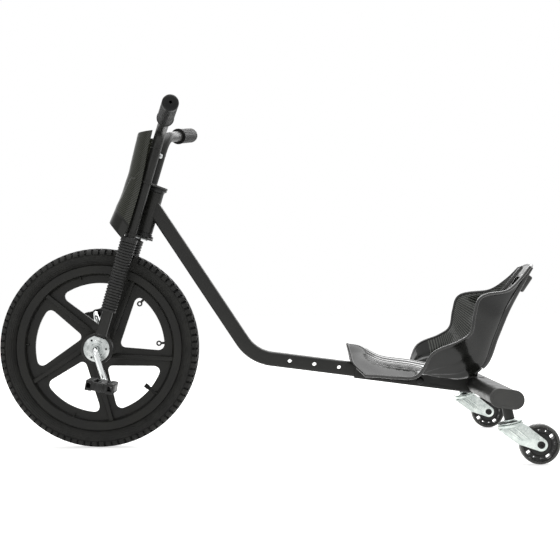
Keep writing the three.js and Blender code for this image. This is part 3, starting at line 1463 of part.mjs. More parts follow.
function addHead(head) {
  piece(head, "head_tube", headTubeGeometry(), FINISH.frame);
  piece(head, "headset_cup_lower", cupGeometry(cupLow, 1), FINISH.blackPlastic);
  piece(head, "headset_cup_upper", cupGeometry(cupHigh, -1), FINISH.blackPlastic);
}

function addRun(run) {
  piece(run, "main_tube", mainTubeGeometry(), FINISH.frame);
  piece(run, "rear_sleeve", sleeveGeometry(), FINISH.frame);
  piece(run, "lock_bolt_rear", lockBoltGeometry(lockPlaces[0]), FINISH.steel);
  piece(run, "lock_bolt_front", lockBoltGeometry(lockPlaces[1]), FINISH.steel);
  piece(run, "axle_tube", axleTubeGeometry(), FINISH.frame);
  piece(run, "seat_bracket", bracketGeometry(), FINISH.frame);
  piece(run, "bracket_bolt", bracketBoltGeometry(), FINISH.steel);
  for (const side of SIDES) {
    piece(run, `axle_cap_${side.name}`, handed(axleCapGeometry(), side), FINISH.blackPlastic);
  }
}

function addSeat(run) {
  piece(run, "seat", seatGeometry(), FINISH.glossPlastic);
  for (const side of SIDES) {
    const bolt = seatBoltGeometry().translate(0, side.sign * SEAT_BOLT_OUT, 0);
    piece(run, `seat_bolt_${side.name}`, bolt, FINISH.steel);
  }
}

function addCaster(caster, side) {
  piece(caster, `caster_stem_${side.name}`, stemGeometry(), FINISH.frame);
  piece(caster, `caster_race_${side.name}`, raceGeometry(), FINISH.zinc);
  piece(caster, `kingpin_${side.name}`, kingpinGeometry(), FINISH.steel);
  piece(caster, `caster_fork_${side.name}`, casterForkGeometry(), FINISH.zinc);
  const wheel = framed(caster, CASTER_TRAIL, 0, -CASTER_DROP, CASTER_RAKE);
  piece(wheel, `caster_core_${side.name}`, casterCoreGeometry(), FINISH.blackPlastic);
  piece(wheel, `caster_tyre_${side.name}`, casterTyreGeometry(), FINISH.caster);
  piece(wheel, `caster_axle_${side.name}`, casterAxleGeometry(), FINISH.steel);
}

function buildTrike() {
  const trike = new THREE.Group();
  trike.name = "drift_trike";
  const fork = framed(trike, 0, 0, WHEEL_RADIUS, HEAD_TILT);
  addFork(fork);
  addFrontWheel(framed(fork, 0, 0, 0, -HEAD_TILT));
  addHead(framed(trike, 0, 0, WHEEL_RADIUS, HEAD_TILT));
  const run = framed(trike, AXLE_BACK, 0, AXLE_HEIGHT, RUN_SLOPE);
  addRun(run);
  addSeat(run);
  for (const side of SIDES) {
    const out = side.sign * (AXLE_LENGTH / 2 - CASTER_INSET);
    addCaster(framed(trike, CASTER_BACK, out, CASTER_HEIGHT, -CASTER_RAKE), side);
  }
  return trike;
}

const trike = buildTrike();
const box = new THREE.Box3().setFromObject(trike, true);
trike.position.x = -(box.min.x + box.max.x) / 2;
trike.position.z = -box.min.z;

export default trike;
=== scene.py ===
"""Drift trike: its pieces, finishes, studio light and camera.

Sizes in the classes are millimetres. Meshes and objects are metres, +X to the
rear, +Y to the rider's right and +Z up.
"""
import logging
import math
from dataclasses import dataclass, field
from enum import Enum
from typing import Callable, Iterable, Sequence

import bmesh
import bpy
from mathutils import Matrix, Vector


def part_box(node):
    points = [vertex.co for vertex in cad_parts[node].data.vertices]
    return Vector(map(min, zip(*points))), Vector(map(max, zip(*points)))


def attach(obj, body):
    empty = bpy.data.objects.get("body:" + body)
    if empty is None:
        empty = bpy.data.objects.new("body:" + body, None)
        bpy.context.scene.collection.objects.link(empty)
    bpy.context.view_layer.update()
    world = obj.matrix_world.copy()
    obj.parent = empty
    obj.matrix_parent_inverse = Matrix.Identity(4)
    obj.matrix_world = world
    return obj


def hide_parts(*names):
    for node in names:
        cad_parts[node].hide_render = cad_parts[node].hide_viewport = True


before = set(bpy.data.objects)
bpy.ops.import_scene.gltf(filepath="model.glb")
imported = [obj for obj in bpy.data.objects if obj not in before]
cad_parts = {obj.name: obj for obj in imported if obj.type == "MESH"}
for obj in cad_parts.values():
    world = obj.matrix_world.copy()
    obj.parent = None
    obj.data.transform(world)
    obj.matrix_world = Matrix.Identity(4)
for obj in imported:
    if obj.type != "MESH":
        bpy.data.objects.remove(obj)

log = logging.getLogger("drift_trike")

MM = 0.001
FULL_TURN = 2 * math.pi
# Points closer than this many metres are one
WELD = 1e-6
# The least root length that a guide line divides by
SHORTEST = 1e-4
# How far apart the bands of a wave texture of scale 1 are, in metres
WAVE_PERIOD = FULL_TURN / 20

Pair = tuple[float, float]
Triple = tuple[float, float, float]
Point = Sequence[float]
Mesh = bmesh.types.BMesh
Tree = bpy.types.NodeTree
Socket = bpy.types.NodeSocket


class Side(Enum):
    """The rider's two sides, with the sign of +Y on each."""

    LEFT = ("left", -1)
    RIGHT = ("right", 1)

    @property
    def label(self) -> str:
        """The word that ends the names of this side's pieces."""
        return self.value[0]

    @property
    def sign(self) -> int:
        """-1 on the left, 1 on the right."""
        return self.value[1]


class Body(str, Enum):
    """The bodies that the pieces ride on."""

    FRAME = "frame"
    STEERING = "steering"
    FRONT_WHEEL = "front_wheel"
    PEDAL = "pedal"
    CASTER = "caster"
    CASTER_WHEEL = "caster_wheel"

    def on(self, side: Side) -> str:
        """The name of this body on one side.

        Args:
            side: which of the two.

        Returns:
            The body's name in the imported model.
        """
        return f"{self.value}_{side.label}"


# Nodes


def add_node(
    tree: Tree,
    kind: str,
    values: dict | None = None,
    links: dict | None = None,
    **settings: object,
) -> bpy.types.Node:
    """Adds one node with its settings, its input values and its links.

    Args:
        tree: the node tree.
        kind: the node's type.
        values: input name or number to plain value.
        links: input name or number to the output that feeds it.
        settings: attributes of the node.

    Returns:
        The new node.
    """
    node = tree.nodes.new(kind)
    for key, value in settings.items():
        setattr(node, key, value)
    for key, value in (values or {}).items():
        node.inputs[key].default_value = value
    for key, output in (links or {}).items():
        tree.links.new(output, node.inputs[key])
    return node


def combined(tree: Tree, operation: str, first: Socket, second: Socket) -> Socket:
    """Two values joined by one operation of a Math node."""
    links = {0: first, 1: second}
    return add_node(tree, "ShaderNodeMath", {}, links, operation=operation).outputs[0]


def remapped(tree: Tree, value: Socket, limits: dict[str, float]) -> Socket:
    """A value spread from one range over another, and held inside it."""
    return add_node(tree, "ShaderNodeMapRange", limits, {"Value": value}).outputs["Result"]


def linear(hex_colour: str) -> tuple[float, float, float, float]:
    """Turns an sRGB colour to the linear one that the shaders take, by the sRGB standard.

    Args:
        hex_colour: the colour as "#rrggbb".

    Returns:
        Linear red, green, blue and an alpha of 1.
    """
    channels = [int(hex_colour[i : i + 2], 16) / 255 for i in (1, 3, 5)]
    lit = [c / 12.92 if c <= 0.04045 else ((c + 0.055) / 1.055) ** 2.4 for c in channels]
    return lit[0], lit[1], lit[2], 1.0


def per_metre(millimetres: float) -> float:
    """The texture scale whose features have this size."""
    return 1 / (millimetres * MM)


# Finishes


@dataclass(frozen=True)
class Finish:
    """A surface whose colour, gloss and relief vary a little, as every real one's do.

    Colours run from shade to tint over patches, and the relief is a fine grain. The
    slot is what the record calls the material, and nothing here reads it.
    """

    name: str
    shade: str
    tint: str
    patch_mm: float
    gloss: Pair
    grain_mm: float
    relief_mm: float
    metallic: float = 0.0
    ior: float = 1.5
    coat: float = 0.0
    coat_roughness: float = 0.05
    specular: float = 0.5
    slot: str = ""

    def place(self, tree: Tree) -> Socket:
        """Where the patterns lie: in the object's own coordinates.

        Args:
            tree: the material's nodes.

        Returns:
            The socket with the coordinates.
        """
        return add_node(tree, "ShaderNodeTexCoord").outputs["Object"]

    def patches(self, tree: Tree, at: Socket, size: float) -> Socket:
        """Soft patches of one size, from 0 to 1.

        Args:
            tree: the material's nodes.
            at: the coordinates.
            size: how wide a patch is, in millimetres.

        Returns:
            The socket with the patches.
        """
        scale = {"Scale": per_metre(size), "Detail": 3.0}
        noise = add_node(tree, "ShaderNodeTexNoise", scale, {"Vector": at}).outputs["Fac"]
        return remapped(tree, noise, {"From Min": 0.3, "From Max": 0.7})

    def blend(
        self, tree: Tree, amount: Socket, low: object, high: object
    ) -> Socket:
        """Mixes two colours, each a hex string or a socket.

        Args:
            tree: the material's nodes.
            amount: 0 for the first, 1 for the second.
            low: the first colour.
            high: the second colour.

        Returns:
            The socket with the mixed colour.
        """
        mix = add_node(tree, "ShaderNodeMix", links={"Factor": amount}, data_type="RGBA")
        for slot, colour in ((6, low), (7, high)):
            if isinstance(colour, str):
                mix.inputs[slot].default_value = linear(colour)
            else:
                tree.links.new(colour, mix.inputs[slot])
        return mix.outputs[2]

    def colour(self, tree: Tree, at: Socket) -> Socket:
        """The base colour.

        Args:
            tree: the material's nodes.
            at: the coordinates.

        Returns:
            The socket with the colour.
        """
        return self.blend(tree, self.patches(tree, at, self.patch_mm), self.shade, self.tint)

    def height(self, tree: Tree, at: Socket) -> Socket:
        """The relief, from 0 to 1.

        Args:
            tree: the material's nodes.
            at: the coordinates.

        Returns:
            The socket with the height.
        """
        grain = {"Scale": per_metre(self.grain_mm), "Detail": 2.0}
        return add_node(tree, "ShaderNodeTexNoise", grain, {"Vector": at}).outputs["Fac"]

    def build(self) -> bpy.types.Material:
        """Makes the material, or returns the one that is already made.

        Returns:
            The material.
        """
        made = bpy.data.materials.get(self.name)
        if made is not None:
            return made
        material = bpy.data.materials.new(self.name)
        material.use_nodes = True
        tree = material.node_tree
        shader = tree.nodes["Principled BSDF"]
        at = self.place(tree)
        low, high = self.gloss
        smudges = self.patches(tree, at, self.patch_mm / 2)
        bump = {"Strength": 1.0, "Distance": self.relief_mm * MM}
        normal = add_node(tree, "ShaderNodeBump", bump, {"Height": self.height(tree, at)})
        sockets = {
            "Base Color": self.colour(tree, at),
            "Roughness": remapped(tree, smudges, {"To Min": low, "To Max": high}),
            "Normal": normal.outputs["Normal"],
        }
        for name, socket in sockets.items():
            tree.links.new(socket, shader.inputs[name])
        values = {
            "Metallic": self.metallic, "IOR": self.ior, "Specular IOR Level": self.specular,
            "Coat Weight": self.coat, "Coat Roughness": self.coat_roughness,
        }
        for name, value in values.items():
            shader.inputs[name].default_value = value
        return material


@dataclass(frozen=True)
class Woven(Finish):
    """A gloss plastic with a woven look printed under its clear coat.

    Bands of the weave follow the piece's own UV map, which is in metres. They start
    some way along it, and may show only on faces that look at the middle plane.
    """

    pitch_mm: float = 5.0
    slant: float = 0.0
    band: str = "#5d5f5a"
    strength: float = 0.6
    weft_share: float = 0.3
    start_mm: float = 0.0
    inward: bool = False
    # how strong warp and weft are together where a thread starts to show, and where it is bright
    crests: Pair = (0.45, 1.3)
    # a face's place across times the way it faces: where the inside starts, and where it is whole
    inside: Pair = (-0.03, -0.055)

    def where(self, tree: Tree) -> Socket:
        """How far the weave shows at a place, from 0 to 1.

        Args:
            tree: the material's nodes.

        Returns:
            The socket with that share.
        """
        uv = add_node(tree, "ShaderNodeUVMap").outputs["UV"]
        along = add_node(tree, "ShaderNodeSeparateXYZ", {}, {0: uv}).outputs["Y"]
        start = {"From Min": self.start_mm * MM, "From Max": (self.start_mm + 1) * MM}
        share = remapped(tree, along, start)
        if not self.inward:
            return share
        spots = add_node(tree, "ShaderNodeTexCoord").outputs
        place, facing = (
            add_node(tree, "ShaderNodeSeparateXYZ", {}, {0: spots[name]}).outputs["Y"]
            for name in ("Object", "Normal")
        )
        low, high = self.inside
        inward = combined(tree, "MULTIPLY", place, facing)
        side = remapped(tree, inward, {"From Min": low, "From Max": high})
        return combined(tree, "MULTIPLY", share, side)

    def place(self, tree: Tree) -> Socket:
        """Where the patterns lie: on the piece's UV map.

        Args:
            tree: the material's nodes.

        Returns:
            The socket with the coordinates.
        """
        return add_node(tree, "ShaderNodeTexCoord").outputs["UV"]

    def bands(self, tree: Tree, at: Socket, turn: float, pitch: float) -> Socket:
        """Parallel bands of one pitch, from 0 to 1.

        Args:
            tree: the material's nodes.
            at: the coordinates.
            turn: the bands' turn, in degrees.
            pitch: from one band to the next, in millimetres.

        Returns:
            The socket with the bands.
        """
        rotation = {"Rotation": (0.0, 0.0, math.radians(turn))}
        turned = add_node(tree, "ShaderNodeMapping", rotation, {"Vector": at}).outputs["Vector"]
        scale = {"Scale": WAVE_PERIOD * per_metre(pitch)}
        wave = add_node(tree, "ShaderNodeTexWave", scale, {"Vector": turned}, bands_direction="X")
        return wave.outputs["Fac"]

    def colour(self, tree: Tree, at: Socket) -> Socket:
        """The weave's two thread directions over the plastic's own colour.

        Args:
            tree: the material's nodes.
            at: the coordinates.

        Returns:
            The socket with the colour.
        """
        plain = super().colour(tree, at)
        warp = self.bands(tree, at, self.slant, self.pitch_mm)
        weft = self.bands(tree, at, self.slant + 90, self.pitch_mm / 2)
        weave = add_node(
            tree, "ShaderNodeMath", {1: self.weft_share}, {0: weft, 2: warp},
            operation="MULTIPLY_ADD",
        )
        low, high = self.crests
        limits = {"From Min": low, "From Max": high, "To Max": self.strength}
        bright = remapped(tree, weave.outputs[0], limits)
        share = combined(tree, "MULTIPLY", bright, self.where(tree))
        return self.blend(tree, share, plain, self.band)


@dataclass(frozen=True)
class Turned(Finish):
    """A metal with fine rings left by turning or polishing about the wheel's axle."""

    centre: Triple = (0.0, 0.0, 0.0)
    ring_mm: float = 1.4

    def height(self, tree: Tree, at: Socket) -> Socket:
        """Rings about the axle.

        Args:
            tree: the material's nodes.
            at: the coordinates.

        Returns:
            The socket with the height.
        """
        centre = {"Location": tuple(-c for c in self.centre)}
        spot = add_node(tree, "ShaderNodeMapping", centre, {"Vector": at}).outputs["Vector"]
        rings = {"Scale": WAVE_PERIOD * per_metre(self.ring_mm), "Distortion": 0.4, "Detail": 2.0}
        wave = add_node(
            tree, "ShaderNodeTexWave", rings, {"Vector": spot}, wave_type="RINGS",
            rings_direction="Y",
        )
        return wave.outputs["Fac"]


# Satin polyester powder coat baked on steel: nearly black, soft highlights, orange peel.
POWDER_COAT = Finish(
    "satin_powder_coat", "#1e1e1d", "#272725", patch_mm=60, gloss=(0.34, 0.46), grain_mm=2.2,
    relief_mm=0.03, specular=0.28, slot="frame_paint",
)
# Injection-moulded ABS of the seat, under a gloss clear coat: a weave with threads 6 mm
# apart shows on the inside of the wings and the back.
WOVEN_ABS = Woven(
    "weave_gloss_abs", "#131412", "#1b1c1a", patch_mm=40, gloss=(0.18, 0.28), grain_mm=6,
    relief_mm=0.03, specular=0.16, coat=0.55, coat_roughness=0.1, slot="gloss_plastic",
    pitch_mm=6.0, slant=90, start_mm=205, inward=True, band="#7a7d76", strength=0.9,
)
# The shield's ABS, olive black: a diagonal weave with threads 3.4 mm apart under a thin coat.
PANEL_ABS = Woven(
    "diagonal_weave_gloss_abs", "#10110e", "#1b1c17", patch_mm=24, gloss=(0.24, 0.34), grain_mm=6,
    relief_mm=0.03, specular=0.16, coat=0.12, coat_roughness=0.1, slot="gloss_plastic",
    pitch_mm=3.4, slant=-38, start_mm=33, band="#56584c", strength=0.85,
)
# Plain gloss ABS, without a weave, of the seat's rim, handle and foot and the shield's tab.
GLOSS_ABS = Finish(
    "gloss_abs", "#181817", "#222220", patch_mm=40, gloss=(0.18, 0.28), grain_mm=6,
    relief_mm=0.03, specular=0.4, coat=0.4, coat_roughness=0.08, slot="gloss_plastic",
)
# Moulded polypropylene of pedals and cups: near black with a fine spark-eroded texture.
MOULDED_PP = Finish(
    "moulded_polypropylene", "#171717", "#212120", patch_mm=25, gloss=(0.36, 0.5), grain_mm=0.9,
    relief_mm=0.05, specular=0.32, slot="black_plastic",
)
# Low-density polyethylene of the axle's end caps: dark grey and waxy.
CAP_PE = Finish(
    "moulded_polyethylene", "#414140", "#4b4b49", patch_mm=25, gloss=(0.4, 0.52), grain_mm=0.9,
    relief_mm=0.04, specular=0.35, slot="black_plastic",
)
# Glass-filled nylon of the spoked wheel: very dark, half matt, with faint flow patches.
MOULDED_NYLON = Finish(
    "glass_filled_nylon", "#181817", "#22221f", patch_mm=45, gloss=(0.38, 0.5), grain_mm=1.1,
    relief_mm=0.04, specular=0.24, slot="wheel_plastic",
)
# Vulcanised natural rubber of the tyre: matt black-grey, a little dusty.
TYRE_RUBBER = Finish(
    "vulcanised_rubber", "#1e1e1d", "#2a2a28", patch_mm=18, gloss=(0.6, 0.8), grain_mm=1.3,
    relief_mm=0.08, specular=0.26, slot="tyre",
)
# Thermoplastic rubber of the grips and the valve: black, satin, close grain.
SOFT_RUBBER = Finish(
    "thermoplastic_rubber", "#111111", "#1a1a19", patch_mm=20, gloss=(0.4, 0.55), grain_mm=0.8,
    relief_mm=0.05, specular=0.2, slot="rubber",
)
# Softer rubber of the fork's boots: greyer than the grips, with the same close grain.
BOOT_RUBBER = Finish(
    "boot_rubber", "#1e1e1e", "#2a2a29", patch_mm=20, gloss=(0.42, 0.56), grain_mm=0.8,
    relief_mm=0.05, specular=0.34, slot="rubber",
)
# Bright chrome plate on the crank rod: a mirror with faint smudges.
CHROME_PLATE = Finish(
    "chrome_plate", "#cfd3d3", "#e3e5e4", patch_mm=30, gloss=(0.08, 0.2), grain_mm=3,
    relief_mm=0.01, metallic=1.0, slot="chrome",
)
# Bright zinc plate, clear passivated: pale silver with a faint green-blue and soft spangle.
ZINC_PLATE = Finish(
    "bright_zinc_plate", "#b3bbb8", "#d3d9d5", patch_mm=9, gloss=(0.16, 0.3), grain_mm=2.4,
    relief_mm=0.03, metallic=1.0, slot="zinc",
)
# Zinc-plated steel bolts: the same metal, greyer from handling.
BOLT_STEEL = Finish(
    "plated_bolt_steel", "#a9acad", "#c4c6c6", patch_mm=6, gloss=(0.22, 0.36), grain_mm=1.2,
    relief_mm=0.02, metallic=1.0, slot="steel",
)
# Blackened steel of screws and caster axles: oxide finish with an oily sheen.
BLACK_STEEL = Finish(
    "black_oxide_steel", "#161616", "#222222", patch_mm=6, gloss=(0.3, 0.45), grain_mm=1.2,
    relief_mm=0.02, metallic=0.6, slot="steel",
)
# Cast polyurethane of the caster treads: dark grey, glossy, slightly clouded.
CAST_PU = Finish(
    "cast_polyurethane", "#343431", "#454542", patch_mm=12, gloss=(0.2, 0.34), grain_mm=1.6,
    relief_mm=0.03, specular=0.45, slot="caster_tread",
)


# Shaping


@dataclass(frozen=True)
class Place:
    """A frame of reference on the trike, turned about +Y.

    Attributes:
        x, y, z: its origin, in millimetres.
        tilt: its turn about +Y, in degrees.
    """

    x: float
    y: float
    z: float
    tilt: float = 0.0

    @property
    def matrix(self) -> Matrix:
        """The frame as a matrix, in metres."""
        at = Vector((self.x, self.y, self.z)) * MM
        return Matrix.Translation(at) @ Matrix.Rotation(math.radians(self.tilt), 4, "Y")

    def at(self, x: float, y: float, z: float, tilt: float = 0.0) -> Matrix:
        """A frame inside this one.

        Args:
            x, y, z: its origin here, in millimetres.
            tilt: its turn about +Y here, in degrees.

        Returns:
            The inner frame as a matrix.
        """
        return self.matrix @ Place(x, y, z, tilt).matrix


# The turn that stands a mesh from +Y up on +Z
UPRIGHT = Matrix.Rotation(math.radians(90), 4, "X")


def about_axle(degrees: float) -> Matrix:
    """A turn in the side view, from +X up to +Z."""
    return Matrix.Rotation(math.radians(-degrees), 4, "Y")


def of_kind(items: Sequence[object], kind: type) -> list:
    """The items of one kind, such as the new points of an extrusion."""
    return [item for item in items if isinstance(item, kind)]


def faced_out(bm: Mesh) -> Mesh:
    """Turns every face of a mesh outwards."""
    bmesh.ops.recalc_face_normals(bm, faces=bm.faces[:])
    return bm


def new_points(bm: Mesh, points: Iterable[Point], closed: bool) -> list[bmesh.types.BMEdge]:
    """Draws a line of edges through points.

    Args:
        bm: the mesh it goes into.
        points: places in millimetres.
        closed: whether the last point joins the first.

    Returns:
        The edges.
    """
    verts = [bm.verts.new(Vector(point) * MM) for point in points]
    ends = list(zip(verts, verts[1:]))
    if closed:
        ends.append((verts[-1], verts[0]))
    return [bm.edges.new(pair) for pair in ends]


def spun(profile: Sequence[Pair], steps: int, closed: bool = True) -> Mesh:
    """Turns a profile about +Y.

    Args:
        profile: (radius, along) in millimetres.
        steps: facets in the full turn.
        closed: whether the profile closes on itself, as a ring's does.

    Returns:
        The turned mesh.
    """
    bm = bmesh.new()
    edges = new_points(bm, [(radius, along, 0.0) for radius, along in profile], closed)
    bmesh.ops.spin(
        bm, geom=bm.verts[:] + edges, cent=(0, 0, 0), axis=(0, 1, 0), dvec=(0, 0, 0),
        angle=FULL_TURN, steps=steps, use_merge=True,
    )
    bmesh.ops.remove_doubles(bm, verts=bm.verts, dist=WELD)
    return faced_out(bm)


def mirrored(profile: Sequence[Pair]) -> list[Pair]:
    """The same profile on the other side of the middle plane, run backwards."""
    return [(radius, -along) for radius, along in reversed(profile)]


def spun_even(half: Sequence[Pair], steps: int) -> Mesh:
    """Turns half a ring's profile and its mirror image about +Y."""
    return spun([*half, *mirrored(half)], steps)


def pin(radius: float, low: float, high: float, sides: int) -> Mesh:
    """A plain pin along +Y: round, or a hexagon where it has six sides."""
    return spun([(0, low), (radius, low), (radius, high), (0, high)], sides, closed=False)


def swept(outline: Sequence[Pair], frames: Sequence[Matrix], capped: bool = True) -> Mesh:
    """Draws an outline along a path, one extrusion to each step.

    Args:
        outline: (x, y) in millimetres, across the path.
        frames: the path's frames, with +Z along it.
        capped: whether both ends are closed.

    Returns:
        The swept mesh.
    """
    bm = bmesh.new()
    edges = new_points(bm, [(x, y, 0.0) for x, y in outline], closed=True)
    bmesh.ops.transform(bm, matrix=frames[0], verts=bm.verts)
    for before, after in zip(frames, frames[1:]):
        made = bmesh.ops.extrude_edge_only(bm, edges=edges)["geom"]
        verts = of_kind(made, bmesh.types.BMVert)
        edges = of_kind(made, bmesh.types.BMEdge)
        bmesh.ops.transform(bm, matrix=after @ before.inverted(), verts=verts)
    if capped:
        bmesh.ops.holes_fill(bm, edges=bm.edges, sides=len(outline))
    return faced_out(bm)


def thickened(bm: Mesh, wall: float) -> Mesh:
    """Gives a sheet or an open tube its wall, inwards.

    Args:
        bm: the sheet, its faces turned out.
        wall: the thickness in millimetres.

    Returns:
        The same mesh.
    """
    bmesh.ops.solidify(bm, geom=bm.faces[:], thickness=wall * MM)
    return faced_out(bm)


def circle(radius: float, sides: int) -> list[Pair]:
    """A round outline, in millimetres."""
    turns = [FULL_TURN * i / sides for i in range(sides)]
    return [(radius * math.cos(turn), radius * math.sin(turn)) for turn in turns]


def rounded_square(width: float, height: float, corner: float, steps: int = 5) -> list[Pair]:
    """A rectangle with round corners, in millimetres.

    Args:
        width: along x.
        height: along y.
        corner: the corners' radius.
        steps: facets in each corner.

    Returns:
        The outline.
    """
    points = []
    for quarter, (sx, sy) in enumerate(((1, 1), (-1, 1), (-1, -1), (1, -1))):
        for i in range(steps + 1):
            turn = math.radians(90) * (quarter + i / steps)
            x = sx * (width / 2 - corner) + corner * math.cos(turn)
            points.append((x, sy * (height / 2 - corner) + corner * math.sin(turn)))
    return points


def slab(outline: Sequence[Pair], low: float, high: float) -> Mesh:
    """A flat plate drawn in the side view, with its thickness along Y.

    Args:
        outline: (x, z) in millimetres.
        low, high: its two faces along Y.

    Returns:
        The plate.
    """
    bm = bmesh.new()
    edges = new_points(bm, [(x, low, z) for x, z in outline], closed=True)
    face = bmesh.ops.contextual_create(bm, geom=edges)["faces"]
    made = bmesh.ops.extrude_face_region(bm, geom=face)["geom"]
    verts = of_kind(made, bmesh.types.BMVert)
    bmesh.ops.translate(bm, verts=verts, vec=(0, (high - low) * MM, 0))
    return faced_out(bm)


def belted(discs: Sequence[Triple], low: float, high: float, sides: int = 48) -> Mesh:
    """The plate that a taut belt makes round some discs, with its thickness along Y.

    Args:
        discs: (x, z, radius) of each, in millimetres.
        low, high: the plate's two faces along Y.
        sides: facets of each disc.

    Returns:
        The plate.
    """
    bm = bmesh.new()
    for x, z, radius in discs:
        middle = Matrix.Translation(Vector((x, (low + high) / 2, z)) * MM) @ UPRIGHT
        bmesh.ops.create_cone(
            bm, cap_ends=False, segments=sides, radius1=radius * MM, radius2=radius * MM,
            depth=(high - low) * MM, matrix=middle,
        )
    bmesh.ops.delete(bm, geom=bm.faces[:], context="FACES_ONLY")
    hull = bmesh.ops.convex_hull(bm, input=bm.verts)
    spare = of_kind(hull["geom_interior"], bmesh.types.BMVert)
    bmesh.ops.delete(bm, geom=spare, context="VERTS")
    bmesh.ops.delete(bm, geom=[edge for edge in bm.edges if not edge.link_faces], context="EDGES")
    bmesh.ops.dissolve_limit(bm, angle_limit=math.radians(1), verts=bm.verts, edges=bm.edges)
    return faced_out(bm)


def block(size: Point, centre: Point = (0, 0, 0), tilt: float = 0.0) -> Mesh:
    """A plain block, to be shaped further.

    Args:
        size: its lengths, in millimetres.
        centre: its middle, in millimetres.
        tilt: its turn about +Y, in degrees.

    Returns:
        The block.
    """
    bm = bmesh.new()
    matrix = Place(*centre, tilt).matrix @ Matrix.Diagonal((*[s * MM for s in size], 1))
    bmesh.ops.create_cube(bm, size=1, matrix=matrix)
    return bm


def bevelled(
    bm: Mesh, edges: Sequence[bmesh.types.BMEdge], reach: float, segments: int, clamp: bool = True
) -> Mesh:
    """Rounds some edges of a mesh.

    Args:
        bm: the mesh.
        edges: the edges.
        reach: how far the rounding reaches, in metres.
        segments: facets in the rounding.
        clamp: whether roundings stop where they would run into each other.

    Returns:
        The same mesh.
    """
    bmesh.ops.bevel(
        bm, geom=edges, offset=reach, offset_type="OFFSET", segments=segments,
        profile=0.5, affect="EDGES", clamp_overlap=clamp, material=-1,
    )
    return bm


def rounded(bm: Mesh, radius: float, segments: int = 2, angle: float = 30) -> Mesh:
    """Rounds every edge that is sharper than an angle.

    Args:
        bm: the mesh.
        radius: how far the rounding reaches, in millimetres.
        segments: facets in the rounding.
        angle: the angle, in degrees.

    Returns:
        The same mesh.
    """
    limit = math.radians(angle)
    sharp = [edge for edge in bm.edges if edge.is_manifold and edge.calc_face_angle(0) > limit]
    return bevelled(bm, sharp, radius * MM, segments)


def merged(meshes: Sequence[Mesh]) -> Mesh:
    """Puts several meshes into the first one.

    Args:
        meshes: the meshes, of which the others are used up.

    Returns:
        The first mesh.
    """
    first = meshes[0]
    for other in meshes[1:]:
        carrier = bpy.data.meshes.new("carrier")
        other.to_mesh(carrier)
        first.from_mesh(carrier)
        bpy.data.meshes.remove(carrier)
        other.free()
    return first


def moved(bm: Mesh, matrix: Matrix) -> Mesh:
    """Moves a whole mesh, and turns its faces out again where the move mirrors it.

    Args:
        bm: the mesh.
        matrix: the move.

    Returns:
        The same mesh.
    """
    bmesh.ops.transform(bm, matrix=matrix, verts=bm.verts)
    if matrix.determinant() < 0:
        bmesh.ops.reverse_faces(bm, faces=bm.faces)
    return bm


def stood(bm: Mesh, x: float = 0.0, y: float = 0.0, z: float = 0.0) -> Mesh:
    """Stands a mesh that was turned about +Y upright, and moves it by millimetres."""
    return moved(moved(bm, UPRIGHT), Place(x, y, z).matrix)


def handed(bm: Mesh, side: Side) -> Mesh:
    """A mesh drawn for the right side, or its mirror image for the left."""
    return moved(bm, Matrix.Scale(side.sign, 4, (0, 1, 0)))


def carved(bm: Mesh, cutters: Sequence[Mesh]) -> Mesh:
    """Cuts closed meshes out of a closed mesh.

    Args:
        bm: the mesh, used up.
        cutters: what is cut away, used up.

    Returns:
        A new mesh with the cuts.
    """
    body = as_object("cut_body", bm)
    tool = as_object("cut_tool", merged(list(cutters)))
    body.modifiers.new("cut", "BOOLEAN")
    body.modifiers["cut"].object = tool
    body.modifiers["cut"].solver = "EXACT"
    body.modifiers["cut"].use_self = len(cutters) > 1
    result = bmesh.new()
    result.from_object(body, bpy.context.evaluated_depsgraph_get())
    for spare in (body, tool):
        mesh = spare.data
        bpy.data.objects.remove(spare)
        bpy.data.meshes.remove(mesh)
    return result


def as_object(name: str, bm: Mesh) -> bpy.types.Object:
    """Turns a mesh into an object in the scene.

    Args:
        name: the object's name.
        bm: the mesh, used up.

    Returns:
        The object.
    """
    mesh = bpy.data.meshes.new(name)
    bm.to_mesh(mesh)
    bm.free()
    made = bpy.data.objects.new(name, mesh)
    bpy.context.scene.collection.objects.link(made)
    return made


def deliver(
    name: str,
    bm: Mesh,
    place: Matrix,
    finish: Finish,
    body: str,
    nodes: Sequence[str] = (),
    sharp: float = 32,
) -> bpy.types.Object:
    """Finishes one piece: sets it in place, dresses it and lets it ride on its body.

    Args:
        name: the piece's name.
        bm: its mesh, used up.
        place: where its mesh goes.
        finish: its surface.
        body: the body that it rides on.
        nodes: the model's nodes that it stands for.
        sharp: edges sharper than this many degrees stay sharp.

    Returns:
        The piece.
    """
    piece = as_object(name, moved(bm, place))
    piece.data.shade_smooth()
    piece.data.set_sharp_from_angle(angle=math.radians(sharp))
    piece.data.materials.append(finish.build())
    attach(piece, body)
    if nodes:
        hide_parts(*nodes)
    log.info("%s: %d faces on %s", name, len(piece.data.polygons), body)
    return piece


def deliver_side(
    side: Side, name: str, bm: Mesh, place: Matrix, finish: Finish, body: str, node: str
) -> None:
    """Finishes one side's piece, that stands for the model's node of that side.

    Args:
        side: the rider's side.
        name: the piece's name, without the side.
        bm: its mesh, used up.
        place: where its mesh goes.
        finish: its surface.
        body: the body that it rides on.
        node: the model's node, without the side.
    """
    deliver(f"{name}_{side.label}", bm, place, finish, body, [f"{node}_{side.label}"])


def deliver_both(
    pieces: Sequence[tuple[str, Callable[[], Mesh], Finish, str]], place: Matrix, body: str
) -> None:
    """Finishes pieces that are drawn for the right side, and their mirror images for the left.

    Args:
        pieces: each one's name, what draws it, its surface and the model's node.
        place: where the meshes go.
        body: the body that they ride on.
    """
    for side in Side:
        for name, draw, finish, node in pieces:
            deliver_side(side, name, handed(draw(), side), place, finish, body, node)


